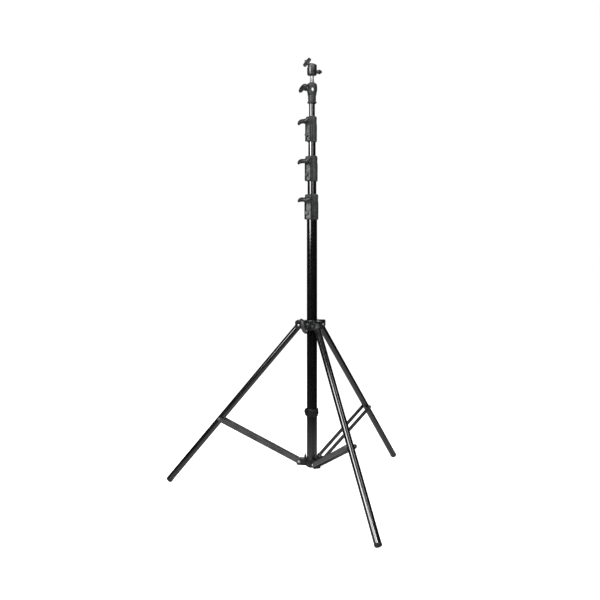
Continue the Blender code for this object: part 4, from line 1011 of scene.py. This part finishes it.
def makeBall():
    low = head["plateStart"] + head["ring"] + 0.0003
    high = low + head["plateThick"]
    shoulder, tip = low + head["stemInPlate"], high + head["threadProud"]
    outline = arcPoints((0, 0), head["ball"], -90, 62, 24)
    outline[0] = (0, outline[0][1])
    outline += [(head["stem"] + 0.0006, outline[-1][1] + 0.0007), (head["stem"], outline[-1][1] + 0.0016),
                (head["stem"], shoulder), (head["thread"], shoulder), (head["thread"], high)]
    level, pitch = high + 0.0004, 0.00127
    while level + pitch < tip - 0.0006:  # thread of the camera screw, as rings
        outline += [(head["thread"], level + 0.0001), (head["thread"] - 0.0005, level + pitch * 0.5)]
        level += pitch
    outline += [(head["thread"], level + 0.0002), (head["thread"] - 0.0008, tip), (0, tip)]
    ball = turnProfile("headBallAndStem", outline, 64)
    settle(ball, headPlace(), 35, "head_ball")

    p, inner, under = head["plate"], head["stem"] + 0.0003, head["plateStart"]
    over = under + head["ring"]
    ringShape = turnProfile("headLockRing", [
        (inner, under), (p - 0.0010, under), (p, under + 0.0006), (p, over - 0.0006), (p - 0.0010, over),
        (inner, over)], 96, closed=True)
    for i in range(32):  # fluted edge
        flute = rodAlong("flute", 0.0008, under - 0.001, over + 0.001, "Z", 12)
        a = math.tau * i / 32
        cutFrom(ringShape, setPlace(flute, moveBy((p + 0.0002) * math.cos(a), (p + 0.0002) * math.sin(a), 0)))
    settle(ringShape, headPlace(), 30, "head_lock_ring")

    plate = turnProfile("headPlatform", [
        (inner, low), (p - 0.0005, low), (p, low + 0.0005), (p, high - 0.0016),
        (p - 0.0004, high - 0.0012), (p - 0.0008, high - 0.0012), (p - 0.0008, high), (p - 0.0012, high),
        (0.0060, high), (0.0056, high - 0.0004), (0.0036, high - 0.0004), (0.00345, high - 0.0006),
        (0.00345, shoulder + 0.0003), (inner, shoulder + 0.0003)], 96, closed=True)
    settle(plate, headPlace(), 30, "head_platform", finishes["rubber"])


makeHeadBody()
makeBall()

wing = {"screw": 0.003, "deep": 0.009, "hub": 0.0068, "hubTall": 0.0085, "reach": 0.0165, "half": 0.0078,
        "thick": 0.0056, "turn": math.radians(25)}


def makeWing():
    seat, hubRadius, tall = head["radius"] + 0.0008, wing["hub"], wing["hubTall"]
    knob = turnProfile("headWingKnob", [
        (0, 0), (hubRadius - 0.0004, 0), (hubRadius, 0.0004), (hubRadius, tall * 0.72),
        (hubRadius * 0.93, tall * 0.86), (hubRadius * 0.72, tall), (0, tall)], 64)
    setPlace(knob, spinBy(math.pi / 2, "Y"))
    side = [(0.10, 0.78), (0.28, 0.84), (0.38, 0.91), (0.44, 0.97), (0.50, 1.0), (0.57, 0.97), (0.66, 0.86),
            (0.78, 0.68), (0.90, 0.47), (0.97, 0.30), (1.0, 0.16)]
    outline = [(wing["reach"] * x, -wing["half"] * z) for x, z in side]
    outline += [(x, -z) for x, z in reversed(outline)]
    blade = sidePlate("blade", outline, wing["thick"] / 2, 0, 0.0013, 4)
    for way in (-1, 1):  # thumb hollows on both faces
        hollow = rodAlong("hollow", 0.012, -0.02, 0.02, "X", 96)
        setPlace(hollow, moveBy(0.0115, way * (wing["thick"] / 2 + 0.0113), 0) @ spinBy(math.pi / 2, "Y"))
        cutFrom(blade, hollow)
    addTo(knob, blade)
    screw = rodAlong("screw", wing["screw"], head["radius"] - wing["deep"] - seat, 0.001, "X", 40)
    addTo(knob, screw)
    settle(knob, moveBy(seat, 0, headBottom + head["wingAt"]) @ spinBy(wing["turn"], "X"), 40, "head_knob")


makeWing()
print("ball head made")


# floor, light and camera

studio = {"floorGlow": 0.81, "poolShine": 0.75, "poolReach": (0.35, 1.15), "backdropTurn": (0.85, 0.97),
          "worldLight": 0.24, "roomShine": 0.03, "keyPower": 28, "sidePower": 14, "archPower": 28,
          "archSidePower": 6, "headPower": 4.5, "fillPower": 98, "topPower": 14}


def makeFloor():
    deselectAll()
    bpy.ops.mesh.primitive_plane_add(size=40, location=(0, 0, base["floor"]))
    floor = nameIt("studioFloor")
    bpy.ops.object.transform_apply(location=True, rotation=True, scale=True)
    paper = bpy.data.materials.new("studioPaper")
    paper.use_nodes = True
    tree = paper.node_tree
    shader = tree.nodes["Principled BSDF"]
    shader.inputs["Roughness"].default_value = 0.9
    shader.inputs["Specular IOR Level"].default_value = 0.1
    shader.inputs["Emission Color"].default_value = (1, 1, 1, 1)
    path = tree.nodes.new("ShaderNodeLightPath")
    # glossy rays see a lit pool round the stand and the white backdrop, and a dark floor elsewhere
    where = place(tree)
    reach = tree.nodes.new("ShaderNodeVectorMath")
    reach.operation = "LENGTH"
    tree.links.new(where, reach.inputs[0])
    heading = tree.nodes.new("ShaderNodeVectorMath")
    heading.operation = "NORMALIZE"
    tree.links.new(where, heading.inputs[0])
    axes = tree.nodes.new("ShaderNodeSeparateXYZ")
    tree.links.new(heading.outputs["Vector"], axes.inputs["Vector"])
    pool = mapTo(tree, reach.outputs["Value"], studio["poolShine"], 0.0, *studio["poolReach"])
    backdrop = mapTo(tree, axes.outputs["Y"], 0.0, 1.0, *studio["backdropTurn"])
    shine = mathOf(tree, "MULTIPLY", path.outputs["Is Glossy Ray"], mathOf(tree, "MAXIMUM", pool, backdrop))
    colour = tree.nodes.new("ShaderNodeMix")
    colour.data_type = "RGBA"
    colour.inputs["A"].default_value = (0.86, 0.86, 0.86, 1)
    colour.inputs["B"].default_value = (0.02, 0.02, 0.02, 1)
    tree.links.new(path.outputs["Is Glossy Ray"], colour.inputs["Factor"])
    tree.links.new(colour.outputs["Result"], shader.inputs["Base Color"])
    seen = mathOf(tree, "MAXIMUM", path.outputs["Is Camera Ray"], shine)
    tree.links.new(mapTo(tree, seen, 0.0, studio["floorGlow"]), shader.inputs["Emission Strength"])
    floor.data.materials.append(paper)


def makeWorld():
    world = bpy.data.worlds.new("studioWorld")
    bpy.context.scene.world = world
    world.use_nodes = True
    tree = world.node_tree
    tree.nodes.clear()
    out = tree.nodes.new("ShaderNodeOutputWorld")
    path = tree.nodes.new("ShaderNodeLightPath")
    seen = mathOf(tree, "MAXIMUM", path.outputs["Is Camera Ray"], path.outputs["Is Transmission Ray"])
    through = mathOf(tree, "MAXIMUM", seen, path.outputs["Is Glossy Ray"])
    # glossy rays see the white backdrop behind the stand and a dark room elsewhere
    where = tree.nodes.new("ShaderNodeTexCoord")
    axes = tree.nodes.new("ShaderNodeSeparateXYZ")
    tree.links.new(where.outputs["Generated"], axes.inputs["Vector"])
    backdrop = mapTo(tree, axes.outputs["Y"], studio["roomShine"], 1.0, *studio["backdropTurn"])
    light, white = [tree.nodes.new("ShaderNodeBackground") for _ in range(2)]
    for shade in (light, white):
        shade.inputs["Color"].default_value = (1, 1, 1, 1)
    light.inputs["Strength"].default_value = studio["worldLight"]
    tree.links.new(mathOf(tree, "MAXIMUM", seen, backdrop), white.inputs["Strength"])
    mix = tree.nodes.new("ShaderNodeMixShader")
    tree.links.new(through, mix.inputs["Fac"])
    tree.links.new(light.outputs["Background"], mix.inputs[1])
    tree.links.new(white.outputs["Background"], mix.inputs[2])
    tree.links.new(mix.outputs["Shader"], out.inputs["Surface"])


legLine = ((0.12, -0.33, 0.10), (0.21, -0.58, -0.79))  # a spot under the front leg, and the way the leg runs
lamps = [  # name, power, size, place, target, long side
    ("leftStrip", "keyPower", (1.10, 0.74), (-1.57, -1.68, 1.18), (0, 0, 1.18)),
    ("rightStrip", "sidePower", (0.40, 1.3), (1.10, -2.52, 1.75), (0, 0, 1.75)),
    ("archStrip", "archPower", (0.78, 0.80), (-1.20, -1.19, 1.49), *legLine),
    ("archSideStrip", "archSidePower", (0.35, 0.80), (0.86, -1.03, 1.93), *legLine),
    ("headStrip", "headPower", (0.30, 0.45), (-0.42, -2.97, 2.17), (0, 0, 2.17)),
    ("frontFill", "fillPower", (1.8, 0.8), (-0.3, -3.15, 2.9), (0, 0, 0.6)),
    ("topSoft", "topPower", (2.0, 2.0), (0.2, 0.1, 3.4), (0, 0, 0.4)),
]


def makeLight(name, power, size, position, target, along=(0, 0, 1)):
    lamp = bpy.data.lights.new(name, "AREA")
    lamp.shape = "RECTANGLE"
    lamp.size, lamp.size_y = size
    lamp.energy = power
    obj = bpy.data.objects.new(name, lamp)
    bpy.context.scene.collection.objects.link(obj)
    toward = (Vector(target) - Vector(position)).normalized()
    across = toward.cross(Vector(along)).normalized()  # the long side runs along the given direction
    facing = Matrix((across, across.cross(toward), -toward)).transposed()
    obj.matrix_world = Matrix.Translation(position) @ facing.to_4x4()


def makeCamera():
    camera = bpy.data.cameras.new("studioCamera")
    camera.lens = 43.66
    camera.sensor_width = 36
    camera.shift_y = -0.0897
    camera.clip_start = 0.05
    obj = bpy.data.objects.new("studioCamera", camera)
    bpy.context.scene.collection.objects.link(obj)
    obj.location = (-0.0404, -2.4543, 0.7428)
    obj.rotation_euler = (math.pi / 2, 0, 0)
    bpy.context.scene.camera = obj


makeFloor()
makeWorld()
for name, power, *lampPlace in lamps:
    makeLight(name, studio[power], *lampPlace)
makeCamera()
bpy.context.scene.view_settings.view_transform = "Standard"
print("studio ready")
